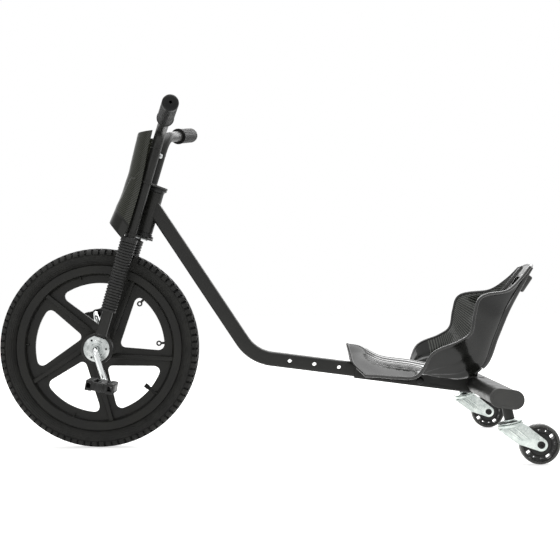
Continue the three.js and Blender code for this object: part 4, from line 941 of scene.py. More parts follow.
class GuideLine:
    """A smooth line through points, evenly shared between them."""

    def __init__(self, points: Sequence[Point]) -> None:
        """Keeps the points, with one more carried on straight at each end.

        Args:
            points: places, in millimetres.
        """
        inner = [Vector(point) for point in points]
        self.points = [2 * inner[0] - inner[1], *inner, 2 * inner[-1] - inner[-2]]

    def at(self, share: float) -> Vector:
        """A place on the line.

        Args:
            share: 0 at its first point, 1 at its last.

        Returns:
            The place.
        """
        spans = len(self.points) - 3
        whole = min(int(share * spans), spans - 1)
        rest = share * spans - whole
        p0, p1, p2, p3 = self.points[whole : whole + 4]
        legs = ((p0, p1), (p1, p2), (p2, p3))
        d0, d1, d2 = (max(math.sqrt((b - a).length), SHORTEST) for a, b in legs)
        start = ((p1 - p0) / d0 - (p2 - p0) / (d0 + d1) + (p2 - p1) / d1) * d1
        end = ((p2 - p1) / d1 - (p3 - p1) / (d1 + d2) + (p3 - p2) / d2) * d1
        square = rest * rest
        return (
            p1 + start * rest + (3 * (p2 - p1) - 2 * start - end) * square
            + (2 * (p1 - p2) + start + end) * square * rest
        )


class BentLine:
    """The middle line of a bent tube: straight runs and round bends."""

    def __init__(self, corners: Sequence[Point], radius: float, steps: int, across: Point) -> None:
        """Rounds each inner corner.

        Args:
            corners: the ends and the corners, in millimetres.
            radius: the bends' radius.
            steps: facets in each bend.
            across: the direction that stays across the tube.
        """
        at = [Vector(corner) for corner in corners]
        self.across = Vector(across)
        self.stops = [at[0]]
        for before, corner, after in zip(at, at[1:], at[2:]):
            back, ahead = (before - corner).normalized(), (after - corner).normalized()
            half = back.angle(ahead) / 2
            centre = corner + (back + ahead).normalized() * (radius / math.sin(half))
            start = corner + back * (radius / math.tan(half)) - centre
            end = corner + ahead * (radius / math.tan(half)) - centre
            axis = start.cross(end).normalized()
            for i in range(steps + 1):
                turn = Matrix.Rotation((math.pi - 2 * half) * i / steps, 4, axis)
                self.stops.append(turn @ start + centre)
        self.stops.append(at[-1])

    def frames(self) -> list[Matrix]:
        """The line's frames, in metres, with +Z along it and +X across it.

        Returns:
            One frame to each stop.
        """
        made = []
        for i, stop in enumerate(self.stops):
            ahead = (self.stops[min(i + 1, len(self.stops) - 1)] - stop).normalized()
            behind = (stop - self.stops[max(i - 1, 0)]).normalized()
            along = (ahead + behind).normalized()
            across = (self.across - along * along.dot(self.across)).normalized()
            turn = Matrix((across, along.cross(across), along)).transposed().to_4x4()
            made.append(Matrix.Translation(stop * MM) @ turn)
        return made


def straight(low: Point, high: Point, across: Point = (0, 1, 0)) -> list[Matrix]:
    """The two frames of a straight run."""
    return BentLine([low, high], 0, 0, across).frames()


def draped(rows: Sequence[Sequence[Vector]]) -> Mesh:
    """A sheet through rows of points: a grid whose points go to their places.

    The sheet's UV map holds its own lengths in metres: across, from its middle,
    and along, from its first row.

    Args:
        rows: the points, in millimetres.

    Returns:
        The sheet.
    """
    bm = bmesh.new()
    columns = len(rows[0])
    bmesh.ops.create_grid(bm, x_segments=columns - 1, y_segments=len(rows) - 1, size=1)
    bm.verts.ensure_lookup_table()
    points = [point * MM for row in rows for point in row]
    for vert, point in zip(bm.verts, points):
        vert.co = point
    along = [0.0] * columns
    lengths = []
    for i, row in enumerate(rows):
        if i:
            along = [a + (p - q).length * MM for a, p, q in zip(along, row, rows[i - 1])]
        girth = [0.0]
        for p, q in zip(row, row[1:]):
            girth.append(girth[-1] + (q - p).length * MM)
        middle = girth[columns // 2]
        lengths += [(g - middle, along[columns // 2]) for g in girth]
    layer = bm.loops.layers.uv.new("lengths")
    for face in bm.faces:
        for loop in face.loops:
            loop[layer].uv = lengths[loop.vert.index]
    return bm


# The trike


@dataclass
class Stance:
    """Where the sub-assemblies stand, and the sizes that several of them share."""

    wheel_radius: float = 205.0
    head_tilt: float = 16.8
    axle_back: float = 786.5
    axle_height: float = 122.0
    run_slope: float = 7.6
    caster_back: float = 793.7
    caster_height: float = 84.1
    caster_spread: float = 285.0
    caster_rake: float = 13.0
    steer_back: float = 19.0
    leg_back: float = 0.8
    leg_spread: float = 52.0
    leg_radius: float = 11.1
    leg_split: float = 424.0
    wheel_x: float = field(init=False)

    def __post_init__(self) -> None:
        """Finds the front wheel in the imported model."""
        low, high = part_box("front_tyre")
        self.wheel_x = (low[0] + high[0]) / 2 / MM

    @property
    def wheel(self) -> Place:
        """The front wheel's upright frame."""
        return Place(self.wheel_x, 0, self.wheel_radius)

    @property
    def fork(self) -> Place:
        """The fork's frame, with +Z up its legs."""
        return Place(self.wheel_x, 0, self.wheel_radius, self.head_tilt)

    @property
    def run(self) -> Place:
        """The lower frame run's frame, with +X down it to the rear axle."""
        return Place(self.wheel_x + self.axle_back, 0, self.axle_height, self.run_slope)

    def caster(self, side: Side) -> Place:
        """A caster's frame, with +Z up its swivel axis."""
        back = self.wheel_x + self.caster_back
        return Place(back, side.sign * self.caster_spread, self.caster_height, -self.caster_rake)

    def on_leg(self, up: float) -> Triple:
        """A place on the right leg's middle line, in the fork's frame."""
        return (self.leg_back, self.leg_spread, up)


@dataclass
class FrontTyre:
    """A 16-inch class tyre with block tread."""

    stance: Stance
    columns: int = 264
    tread_depth: float = 2.4
    section_radius: float = 187.0
    # how far out of the section's middle the tread starts
    shoulder: float = 5.0
    outside: tuple[Pair, ...] = (
        (160.8, 14.2), (170.4, 14.2), (171.2, 16.0), (173.2, 19.4), (175.4, 21.9), (176.0, 23.0),
        (176.8, 22.9), (178.4, 24.2), (179.0, 25.2), (179.8, 25.0), (181.8, 25.9), (182.4, 26.7),
        (183.2, 26.5), (185.6, 26.8), (186.2, 27.4), (187.0, 27.2), (188.8, 26.9), (192.0, 26.2),
        (195.4, 24.8), (198.2, 22.6), (200.3, 19.4), (201.5, 15.6), (201.9, 12.6), (202.2, 9.0),
        (202.4, 5.4), (202.5, 1.8),
    )
    inside: tuple[Pair, ...] = (
        (199.0, 8.0), (192.0, 18.6), (183.3, 22.0), (172.0, 12.0), (160.8, 10.4),
    )
    # each row of blocks: from and to across the tyre, and the column where its gap lies
    rows: tuple[tuple[float, float, int], ...] = (
        (15.7, 26.1, 0), (9.1, 15.5, 2), (1.9, 9.0, 1), (-1.8, 1.8, 0),
    )
    # a gap follows every two columns of block
    pattern: int = 3

    def is_block(self, face: bmesh.types.BMFace) -> bool:
        """Whether a face of the bare casing carries a tread block."""
        middle = face.calc_center_median() / MM
        radius = math.hypot(middle.x, middle.z)
        outward = Vector((middle.x, 0, middle.z)).normalized()
        from_core = middle - outward * self.section_radius
        if radius < self.section_radius + self.shoulder or face.normal.dot(from_core) < 0:
            return False
        column = int((math.atan2(middle.z, middle.x) / FULL_TURN + 1) * self.columns)
        late = 0 if middle.y > 0 else 1
        for low, high, start in self.rows:
            if low < abs(middle.y) < high or low < middle.y < high:
                return (column + start + late) % self.pattern != 0
        return False

    def lift(self, vert: bmesh.types.BMVert) -> None:
        """Moves a point of a block's top out to the tread's face."""
        outward = Vector((vert.co.x, 0, vert.co.z)).normalized()
        from_core = vert.co - outward * self.section_radius * MM
        vert.co += from_core.normalized() * self.tread_depth * MM

    def build(self) -> None:
        """Makes the casing and its tread."""
        profile = [*self.outside, *mirrored(self.outside), *mirrored(self.inside), *self.inside]
        bm = spun(profile, self.columns)
        blocks = [face for face in bm.faces if self.is_block(face)]
        made = bmesh.ops.extrude_face_region(bm, geom=blocks)["geom"]
        for vert in of_kind(made, bmesh.types.BMVert):
            self.lift(vert)
        place, body = self.stance.wheel.matrix, Body.FRONT_WHEEL.value
        deliver("tyre_casing", faced_out(bm), place, TYRE_RUBBER, body, ["front_tyre"], sharp=28)


@dataclass
class SpokedWheel:
    """The one-piece moulded wheel: rim, web with five windows, ribs, hub and cable eyelets."""

    stance: Stance
    sides: int = 128
    spokes: int = 5
    first_spoke: float = -3.0
    offset: float = 16.0
    hub_width: float = 42.0
    rim_width: float = 32.0
    window_radius: float = 133.5
    inner_fillet: float = 10.0
    outer_fillet: float = 13.0
    fillet_steps: int = 8
    arc_steps: int = 20
    # how far past a fillet the arc's first facet ends
    arc_lead: float = 3.0
    # the radii between which the web's edges are rounded, and how steep such an edge is, in radians
    web_edges: Pair = (29.0, 146.0)
    web_corner: float = 1.0
    edge_round: float = 1.4
    rib_run: Pair = (25.0, 153.4)
    rib_across: float = 24.0
    rib_width: float = 8.8
    rim: tuple[Pair, ...] = (
        (146.0, 3.3), (148.8, 3.6), (150.4, 5.0), (152.4, 13.2), (154.0, 15.4), (158.0, 16.2),
        (166.4, 17.3), (168.6, 17.5), (169.6, 17.2), (170.0, 16.4), (170.0, 15.0), (169.4, 14.5),
        (160.0, 14.5), (160.0, 10.2), (156.0, 6.2),
    )
    hub: tuple[Pair, ...] = ((6.4, 31.0), (25.6, 31.0), (27.0, 29.6), (27.0, 2.0), (6.4, 2.0))
    flare: tuple[Pair, ...] = (
        (24.0, 15.4), (27.6, 14.6), (30.0, 12.4), (34.0, 9.2), (39.0, 6.0), (44.0, 3.9),
        (49.0, 3.5), (147.5, 3.5),
    )
    eyelet_inset: float = 11.5
    eyelets: Pair = (47.6, 3.8)
    valve_angle: float = -40.0
    valve_out: float = 13.0
    mark: Triple = (8.5, 24.0, 1.8)
    mark_radius: float = 149.2

    def edge(self, turn: float, out: float, side: int) -> Vector:
        """A point on the edge of a spoke, in the side view."""
        half = (self.hub_width + (self.rim_width - self.hub_width) * out / self.window_radius) / 2
        at = Vector((out, side * half - self.offset))
        cos, sin = math.cos(turn), math.sin(turn)
        return Vector((at.x * cos - at.y * sin, at.x * sin + at.y * cos))

    def on_circle(self, a: Vector, b: Vector) -> Vector:
        """Where a spoke's edge meets the windows' outer circle."""
        step = b - a
        half = a.dot(step) / step.length_squared
        rest = (a.length_squared - self.window_radius**2) / step.length_squared
        return a + step * (math.sqrt(half * half - rest) - half)

    def window(self, index: int) -> Mesh:
        """The cutter of one window, its three corners rounded by bevels."""
        turn = math.radians(self.first_spoke) + FULL_TURN * index / self.spokes
        following = turn + FULL_TURN / self.spokes
        low = [self.edge(turn, out, 1) for out in (0, self.window_radius)]
        high = [self.edge(following, out, -1) for out in (0, self.window_radius)]
        along, toward = low[1] - low[0], high[1] - high[0]
        gap = high[0] - low[0]
        share = (gap.x * toward.y - gap.y * toward.x) / (along.x * toward.y - along.y * toward.x)
        corner = low[0] + along * share
        arc = self.arc(self.on_circle(*low), self.on_circle(*high))
        outline = [tuple(point) for point in (corner, *arc)]
        bm = slab(outline, -self.rim_width, self.rim_width)
        rounding = (
            (corner, arc[-1], arc[0], self.inner_fillet),
            (arc[0], corner, arc[1], self.outer_fillet),
            (arc[-1], arc[-2], corner, self.outer_fillet),
        )
        for at, before, after, fillet in rounding:
            half = (before - at).angle(after - at) / 2
            upright = [edge for edge in bm.edges if self.is_over(edge, at)]
            bevelled(bm, upright, fillet * MM / math.tan(half), self.fillet_steps, clamp=False)
        return bm

    def arc(self, start: Vector, end: Vector) -> list[Vector]:
        """Points along the windows' outer circle, with a longer facet at each end."""
        first, last = math.atan2(start.y, start.x), math.atan2(end.y, end.x)
        sweep = (last - first) % FULL_TURN
        lead = (self.outer_fillet + self.arc_lead) / self.window_radius
        inner = [lead + (sweep - 2 * lead) * i / self.arc_steps for i in range(self.arc_steps + 1)]
        turns = [first + turn for turn in (0.0, *inner, sweep)]
        return [Vector((math.cos(t), math.sin(t))) * self.window_radius for t in turns]

    def is_over(self, edge: bmesh.types.BMEdge, at: Vector) -> bool:
        """Whether both ends of an edge lie over one place in the side view."""
        return all((Vector((v.co.x, v.co.z)) - at * MM).length < MM / 2 for v in edge.verts)

    def web_plate(self) -> Mesh:
        """The web and its hub flare, cut by the windows, with rounded edges."""
        disc = spun_even(self.flare, self.sides)
        cut = carved(disc, [self.window(i) for i in range(self.spokes)])
        bmesh.ops.remove_doubles(cut, verts=cut.verts, dist=WELD * 20)
        flat = math.radians(0.6)
        bmesh.ops.dissolve_limit(cut, angle_limit=flat, verts=cut.verts, edges=cut.edges)
        low, high = self.web_edges
        edges = []
        for edge in cut.edges:
            middle = (edge.verts[0].co + edge.verts[1].co) / 2 / MM
            on_web = low < math.hypot(middle.x, middle.z) < high
            if on_web and edge.is_manifold and edge.calc_face_angle(0) > self.web_corner:
                edges.append(edge)
        return bevelled(cut, edges, self.edge_round * MM, 3)

    def rib(self, index: int) -> Mesh:
        """One spoke's raised rib, with rounded edges."""
        inner, outer = self.rib_run
        size = (outer - inner, self.rib_across, self.rib_width)
        bm = rounded(block(size, ((inner + outer) / 2, 0, -self.offset)), self.edge_round, 3)
        return moved(bm, about_axle(self.first_spoke + 360 * index / self.spokes))

    def eyelet(self, angle: float) -> Mesh:
        """A ring for a reflector's clip, on its stalk."""
        reach = self.window_radius - self.eyelet_inset
        ring = spun_even([(2.7, 1.5), (3.1, 2.0), (5.2, 2.0), (5.7, 1.5)], 32)
        moved(ring, Place(reach, 0, 0).matrix)
        middle = reach + 4.2 + self.eyelet_inset / 2
        stalk = rounded(block((self.eyelet_inset, 4.0, 5.0), (middle, 0, 0)), 0.6)
        return moved(merged([ring, stalk]), about_axle(angle))

    def valve(self) -> Mesh:
        """The valve's rubber stem with its knurled cap, pointing at the hub."""
        knurls = [(r, at + 1.5 * i) for i in range(5) for r, at in ((5.1, 1.3), (4.7, 2.0))]
        profile = [
            (0, 0), (4.0, 0), (4.9, 0.7), *knurls, (5.1, 8.6), (4.6, 9.2), (4.1, 9.5), (4.1, 15),
            (4.6, 16.5), (4.6, 27), (0, 27),
        ]
        tip = self.window_radius - self.valve_out
        bm = spun([(radius, tip + along) for radius, along in profile], 32, closed=False)
        return moved(bm, about_axle(self.valve_angle) @ Matrix.Rotation(math.radians(-90), 4, "Z"))

    def rim_mark(self, index: int) -> Mesh:
        """A moulded bar across the rim, halfway between two spokes."""
        bm = rounded(block(self.mark, (self.mark_radius, 0, 0)), 0.5)
        return moved(bm, about_axle(self.first_spoke + (index + 0.5) * 360 / self.spokes))

    def build(self) -> None:
        """Makes the wheel and its valve."""
        parts = [spun_even(half, self.sides) for half in (self.rim, self.hub)]
        parts.append(self.web_plate())
        parts += [self.rib(i) for i in range(self.spokes)]
        parts += [self.eyelet(angle) for angle in self.eyelets]
        parts += [self.rim_mark(i) for i in range(self.spokes)]
        place, body = self.stance.wheel.matrix, Body.FRONT_WHEEL.value
        deliver("spoked_wheel_moulding", merged(parts), place, MOULDED_NYLON, body, ["front_rim"])
        deliver("valve_and_cap", self.valve(), place, SOFT_RUBBER, body, ["valve_stem"])


@dataclass
class CrankAndPedals:
    """The bent rod that is axle, cranks and spindles, with its pedals and push caps."""

    stance: Stance
    rod: float = 6.0
    rod_end: float = 3.5
    bend: float = 13.0
    crank: float = 71.0
    angle: float = 18.3
    out: float = 82.0
    pedal_in: float = 100.0
    width: float = 76.0
    length: float = 54.0
    height: float = 20.0
    tread: float = 13.0
    wall: float = 2.5
    slot: float = 9.0
    studs: int = 6
    # how much shorter the row of studs is than the pedal is wide
    stud_inset: float = 14.0
    bridge: float = 9.0
    tilts: Pair = (11.0, -20.0)

    def spindle(self, sign: int) -> Vector:
        """The middle line of one pedal spindle, in the wheel's frame."""
        turn = math.radians(self.angle)
        return Vector((math.sin(turn), 0, -math.cos(turn))) * (-sign * self.crank)

    def rod_mesh(self) -> Mesh:
        """The bent rod."""
        end = self.pedal_in + self.width + self.rod_end
        corners = []
        for sign in (-1, 1):
            at = self.spindle(sign)
            run = [(at.x, sign * end, at.z), (at.x, sign * self.out, at.z), (0, sign * self.out, 0)]
            corners += run if sign < 0 else run[::-1]
        turn = math.radians(self.angle)
        line = BentLine(corners, self.bend, 10, (math.cos(turn), 0, math.sin(turn)))
        return rounded(swept(circle(self.rod, 32), line.frames()), 0.5, 2, 60)

    def stud(self, middle: float, index: int, up: int) -> Mesh:
        """One stud across a tread's upper or lower face."""
        last = self.studs - 1
        along = (index - last / 2) * (self.width - self.stud_inset) / last
        at = (middle, along, up * (self.height / 2 - 0.5))
        return rounded(block((self.tread - 5, 3.2, 1.8), at), 0.6)

    def pedal(self) -> Mesh:
        """One pedal: barrel, two hollow treads with studs, and two end bridges."""
        half = self.width / 2
        parts = [spun_even([(6.5, half), (8.6, half), (10.0, half - 2.4)], 32)]
        shelf = (self.height - self.slot) / 2
        reach = self.length / 2 - self.tread + 1
        for sign in (-1, 1):
            middle = sign * (self.length - self.tread) / 2
            for up in (-1, 1):
                at = (middle, 0, up * (self.height - shelf) / 2)
                parts.append(rounded(block((self.tread, self.width, shelf), at), 1.2, 3))
                parts += [self.stud(middle, i, up) for i in range(self.studs)]
                at = (middle + up * (self.tread - self.wall) / 2, 0, 0)
                size = (self.wall, self.width - 2, self.height - 2)
                parts.append(rounded(block(size, at), 0.6))
            for end in (1, -1):
                at = (sign * reach / 2, end * (half - self.bridge / 2), 0)
                parts.append(rounded(block((reach, self.bridge, self.height - 3), at), 1.6, 3))
        return merged(parts)

    def cap(self) -> Mesh:
        """A push nut under its plastic cap."""
        profile: list[Pair] = [
            (6.4, 0.4), (9.0, 0.4), (9.0, 2.6), (8.2, 3.8), (6.4, 4.6), (6.2, 5.6), (4.8, 6.3),
            (0, 6.3),
        ]
        return spun([*profile, (0, 3.9), (6.4, 3.9)], 40, closed=False)

    def build(self) -> None:
        """Makes the rod, both pedals and both caps."""
        wheel, body = self.stance.wheel, Body.FRONT_WHEEL.value
        deliver("bent_crank_rod", self.rod_mesh(), wheel.matrix, CHROME_PLATE, body, ["crank_axle"])
        for side, tilt in zip(Side, self.tilts):
            at = self.spindle(side.sign)
            middle = side.sign * (self.pedal_in + self.width / 2)
            end = side.sign * (self.pedal_in + self.width)
            deliver_side(
                side, "pedal_body", self.pedal(), wheel.at(at.x, middle, at.z, tilt),
                MOULDED_PP, Body.PEDAL.on(side), "pedal",
            )
            deliver_side(
                side, "push_cap", handed(self.cap(), side), wheel.at(at.x, end, at.z),
                MOULDED_PP, body, "pedal_cap",
            )


@dataclass
class Fork:
    """Legs, crowns, ribbed boots, bearing housings and hub covers."""

    stance: Stance
    wall: float = 1.6
    foot: float = 26.0
    crowns: Pair = (243.0, 352.0)
    crown_end: float = 14.5
    crown_rear: float = 22.5
    crown_thickness: float = 4.0
    boot_foot: float = 80.0
    boot_length: float = 156.0
    boot_ribs: int = 27
    # the ribs' radius at the boot's foot and at its top
    boot_crest: Pair = (15.8, 17.4)
    boot_bore: float = 11.5
    # one rib: places along its pitch, and how far below its crest
    rib_shape: tuple[Pair, ...] = ((0.02, 2.0), (0.22, 0.35), (0.4, 0.0), (0.6, 0.0), (0.78, 0.35))
    cuff_share: float = 0.25
    cover_holes: Triple = (135.0, 16.0, 256.0)
    hole_circle: float = 19.7

    def leg_mesh(self) -> Mesh:
        """One open leg tube."""
        stance = self.stance
        run = straight(stance.on_leg(self.foot), stance.on_leg(stance.leg_split))
        return thickened(swept(circle(stance.leg_radius, 40), run, capped=False), self.wall)

    def boot(self) -> Mesh:
        """A ribbed boot: round ribs with deep valleys, and a plain cuff at each end."""
        pitch = self.boot_length / self.boot_ribs
        low, high = self.boot_crest
        profile: list[Pair] = []
        for rib in range(self.boot_ribs):
            crest = low + (high - low) * (rib + 0.5) / self.boot_ribs
            start = self.boot_foot + pitch * rib
            share = self.cuff_share if rib in (0, self.boot_ribs - 1) else 1
            profile += [(crest - share * depth, start + at * pitch) for at, depth in self.rib_shape]
        top = self.boot_foot + self.boot_length
        profile += [(15.6, top), (self.boot_bore, top), (self.boot_bore, self.boot_foot)]
        return stood(spun(profile, 48), *self.stance.on_leg(0))

    def housing(self) -> Mesh:
        """The ring that holds a wheel bearing at the foot of a leg, with its weld."""
        profile = [
            (16.4, 32.0), (31.0, 32.0), (32.0, 33.0), (32.0, 51.0), (31.0, 52.0), (13.5, 52.0),
            (13.5, 42.3), (16.4, 42.3),
        ]
        weld = spun([(10.6, 0.0), (13.4, 0.4), (12.6, 2.2), (11.1, 3.8)], 40)
        return merged([spun(profile, 72), stood(weld, *self.stance.on_leg(28.0))])

    def cover(self) -> Mesh:
        """A stamped, stepped cover disc with three screw holes."""
        profile = [
            (6.6, 52.3), (26.0, 52.3), (26.5, 52.8), (26.5, 53.8), (26.0, 54.4), (24.4, 55.0),
            (22.8, 55.3), (18.6, 55.3), (17.4, 55.4), (16.8, 56.1), (16.0, 56.3), (12.0, 56.3),
            (11.4, 55.9), (10.8, 55.9), (10.2, 56.3), (7.2, 56.3), (6.6, 55.9),
        ]
        holes = []
        for angle in self.cover_holes:
            turn = math.radians(angle)
            at = Place(self.hole_circle * math.cos(turn), 0, self.hole_circle * math.sin(turn))
            holes.append(moved(pin(2.2, 50, 58, 24), at.matrix))
        return carved(spun(profile, 96), holes)

    def crown(self, height: float) -> Mesh:
        """A crown plate with rounded edges."""
        stance, half = self.stance, self.crown_thickness / 2
        discs = [
            (stance.leg_back, stance.leg_spread, self.crown_end),
            (stance.leg_back, -stance.leg_spread, self.crown_end),
            (stance.steer_back, 0, self.crown_rear),
        ]
        plate = rounded(belted(discs, -half, half), 0.8, 2)
        lay = Place(0, 0, height).matrix @ Matrix.Scale(-1, 4, (0, 1, 0))
        return moved(moved(plate, UPRIGHT.inverted()), lay)

    def build(self) -> None:
        """Makes both sides and both crowns."""
        place, body = self.stance.fork.matrix, Body.STEERING.value
        for name, height in zip(("lower", "upper"), self.crowns):
            node = f"crown_{name}"
            deliver(f"crown_plate_{name}", self.crown(height), place, POWDER_COAT, body, [node])
        # Chrome plate on pressed steel: a dull mirror with rings 1.4 mm apart.
        turned_chrome = Turned(
            "stamped_chrome_cover", "#979c9b", "#c9cccb", patch_mm=9, gloss=(0.16, 0.32),
            grain_mm=2, relief_mm=0.08, metallic=1.0, slot="chrome",
            centre=tuple(self.stance.wheel.matrix.translation),
        )
        pieces = (
            ("leg_tube", self.leg_mesh, POWDER_COAT, "fork_leg"),
            ("ribbed_boot", self.boot, BOOT_RUBBER, "gaiter"),
            ("hub_housing", self.housing, POWDER_COAT, "bearing_housing"),
            ("stamped_cover", self.cover, turned_chrome, "hub_cover"),
        )
        deliver_both(pieces, place, body)


@dataclass
class Handlebars:
    """The two bent bars over the legs, their bolts and grips."""

    stance: Stance
    wall: float = 2.5
    corner: float = 460.0
    bend: float = 36.0
    end: Triple = (29.4, 265.0, 499.0)
    # how far the bar stops short of the grip's end
    tip_inset: float = 5.0
    bolt_up: float = 418.0
    grip: float = 116.0
    # where the grip's ridges start, and how much of its length has none
    ridge_start: float = 6.0
    plain: float = 21.0
    ridges: int = 20

    @property
    def direction(self) -> Vector:
        """The way the bar points past its bend."""
        return (Vector(self.end) - Vector(self.stance.on_leg(self.corner))).normalized()

    def bar(self) -> Mesh:
        """One bar, from the top of its leg into its grip."""
        stance = self.stance
        foot, corner = stance.on_leg(stance.leg_split + 0.3), stance.on_leg(self.corner)
        tip = Vector(self.end) - self.direction * self.tip_inset
        line = BentLine([foot, corner, tip], self.bend, 14, (1, 0, 0))
        tube = swept(circle(stance.leg_radius, 40), line.frames(), capped=False)
        collar = spun([(11.0, -1.4), (11.7, -0.8), (11.7, 0.8), (11.0, 1.4)], 40)
        stood(collar, *stance.on_leg(stance.leg_split - 1.6))
        return merged([thickened(tube, self.wall), collar])

    def grip_mesh(self) -> Mesh:
        """A grip: flange, fine ridges, a plain band and a domed end with its hole."""
        profile = [(11.4, 0), (16.6, 0), (17.2, 0.7), (17.2, 3.2), (16.8, 4.0), (15.6, 4.8)]
        pitch = (self.grip - self.plain) / self.ridges
        for i in range(self.ridges):
            low = self.ridge_start + i * pitch
            ridge = ((15.3, 0.0), (16.1, 0.22), (16.2, 0.5), (16.1, 0.78))
            profile += [(radius, low + share * pitch) for radius, share in ridge]
        dome = (
            (15.4, 14.6), (16.2, 13.4), (16.2, 6.0), (15.8, 3.6), (14.6, 1.8), (12.0, 0.6),
            (8.0, 0.1), (3.6, 0), (3.0, 0.5), (3.0, 4), (11.4, 4),
        )
        profile += [(radius, self.grip - below) for radius, below in dome]
        turn = Vector((0, 1, 0)).rotation_difference(self.direction).to_matrix().to_4x4()
        start_at = (Vector(self.end) - self.direction * self.grip) * MM
        return moved(spun(profile, 56), Matrix.Translation(start_at) @ turn)

    def bolt(self) -> Mesh:
        """The clamping bolt's domed head and shank, from inside the leg."""
        stance = self.stance
        head = stance.leg_spread - stance.leg_radius - 0.3
        dome = ((0, 4.5), (3.4, 4.4), (5.4, 3.4), (6.5, 1.6), (6.5, 0), (3.0, 0))
        profile = [(radius, head - proud) for radius, proud in dome]
        profile += [(3.0, stance.leg_spread), (0, stance.leg_spread)]
        bolt = carved(spun(profile, 40, closed=False), [pin(2.3, head - 8, head - 2.4, 6)])
        return moved(bolt, Place(stance.leg_back, 0, self.bolt_up).matrix)

    def build(self) -> None:
        """Makes both bars with their bolts and grips."""
        pieces = (
            ("bent_bar", self.bar, POWDER_COAT, "handlebar"),
            ("rubber_grip", self.grip_mesh, SOFT_RUBBER, "grip"),
            ("bar_screw", self.bolt, BOLT_STEEL, "bar_bolt"),
        )
        deliver_both(pieces, self.stance.fork.matrix, Body.STEERING.value)


@dataclass
class FrontPanel:
    """The wrapped glossy shield ahead of the fork."""

    stance: Stance
    wall: float = 2.5
    low: float = 229.0
    height: float = 223.0
    depth: float = 53.0
    back: float = 0.5
    width: float = 140.0
    # each station: middle height, edge height, front, rear edge and half width
    stations: tuple[tuple[float, ...], ...] = (
        (0.12, 0, 1, 0.2, 1.1), (0.27, 0.14, 0.93, 0.1, 1.06), (0.39, 0.31, 0.87, 0.1, 1.02),
        (0.52, 0.49, 0.855, 0.11, 1), (0.6, 0.59, 0.84, 0.14, 1), (0.68, 0.69, 0.86, 0.18, 1),
        (0.82, 0.83, 0.89, 0.24, 1), (0.96, 1.02, 0.92, 0.29, 1),
    )
    section: tuple[Pair, ...] = ((0, 0), (0.05, 0.4), (0.2, 0.72), (0.6, 0.93), (1, 1))
    # each side's crease, from its front end: shares of the depth and of the height
    crease: tuple[Pair, ...] = (
        (1.1, 0.2), (0.87, 0.3), (0.71, 0.378), (0.58, 0.553), (0.425, 0.557), (0.3, 0.66),
        (0.17, 0.69), (-0.1, 0.7),
    )
    crease_step: float = 2.6
    crease_width: float = 3.0
    # how far from the middle the step reaches its full size
    crease_out: float = 30.0
    across: int = 14
    along: int = 18
    chin_rows: int = 6
    tab_size: Pair = (38.5, 44.0)
    tab_at: Pair = (-23.2, 354.3)

    def section_points(self, station: Point) -> list[Vector]:
        """One station's points, from the left rear edge round the nose to the right."""
        middle, edge, front, rear, wide = station
        nose, tail = self.back - front * self.depth, self.back - rear * self.depth
        half = []
        for behind, out in self.section:
            up = self.low + (middle + (edge - middle) * behind) * self.height
            half.append(Vector((nose + (tail - nose) * behind, out * wide * self.width / 2, up)))
        return [Vector((p.x, -p.y, p.z)) for p in half[:0:-1]] + half

    def proud(self, point: Vector) -> float:
        """How far a side stands out at a place, in millimetres: most below the crease."""
        ahead = (self.back - point.x) / self.depth
        up = (point.z - self.low) / self.height
        for (front, low), (rear, high) in zip(self.crease, self.crease[1:]):
            if rear <= ahead <= front:
                line = low + (high - low) * (front - ahead) / (front - rear)
                below = (line - up) * self.height / self.crease_width
                share = min(1.0, max(0.0, 0.5 + below))
                return self.crease_step * share * min(1.0, abs(point.y) / self.crease_out)
        return 0.0

    def sheet(self) -> Mesh:
        """The shield's skin: a flat chin, smooth sides above it, and their crease."""
        chin, *smooth = [self.section_points(station) for station in self.stations]
        columns = [GuideLine(points) for points in zip(*smooth)]
        lines = []
        for i in range(self.chin_rows):
            share = i / self.chin_rows
            lines.append(GuideLine([low.lerp(high, share) for low, high in zip(chin, smooth[0])]))
        steps = (len(smooth) - 1) * self.along
        lines += [GuideLine([column.at(i / steps) for column in columns]) for i in range(steps + 1)]
        last = (len(columns) - 1) * self.across
        rows = [[line.at(j / last) for j in range(last + 1)] for line in lines]
        for row in rows[self.chin_rows :]:
            for point in row:
                point.y += math.copysign(self.proud(point), point.y)
        return faced_out(draped(rows))

    def tab(self) -> Mesh:
        """The tab that rests on the upper crown."""
        back, up = self.tab_at
        return rounded(block((*self.tab_size, self.wall), (back, 0, up + self.wall / 2)), 0.6)

    def build(self) -> None:
        """Makes the shield."""
        bm = self.sheet()
        middle = Vector((self.back, 0, self.low + self.height / 2)) * MM
        faces = list(bm.faces)
        outward = sum((face.normal.dot(face.calc_center_median() - middle) for face in faces), 0.0)
        if outward < 0:
            bmesh.ops.reverse_faces(bm, faces=faces)
        place, body = self.stance.fork.matrix, Body.STEERING.value
        shield = deliver("wrapped_shield", bm, place, PANEL_ABS, body, ["front_panel"], sharp=14)
        wall = shield.modifiers.new("wall", "SOLIDIFY")
        wall.thickness = self.wall * MM
        wall.offset = -1
        edge = shield.modifiers.new("edge", "BEVEL")
        edge.width = 0.9 * MM
        edge.segments = 2
        edge.limit_method = "ANGLE"
        edge.angle_limit = math.radians(60)
        deliver("shield_tab", self.tab(), place, GLOSS_ABS, body)


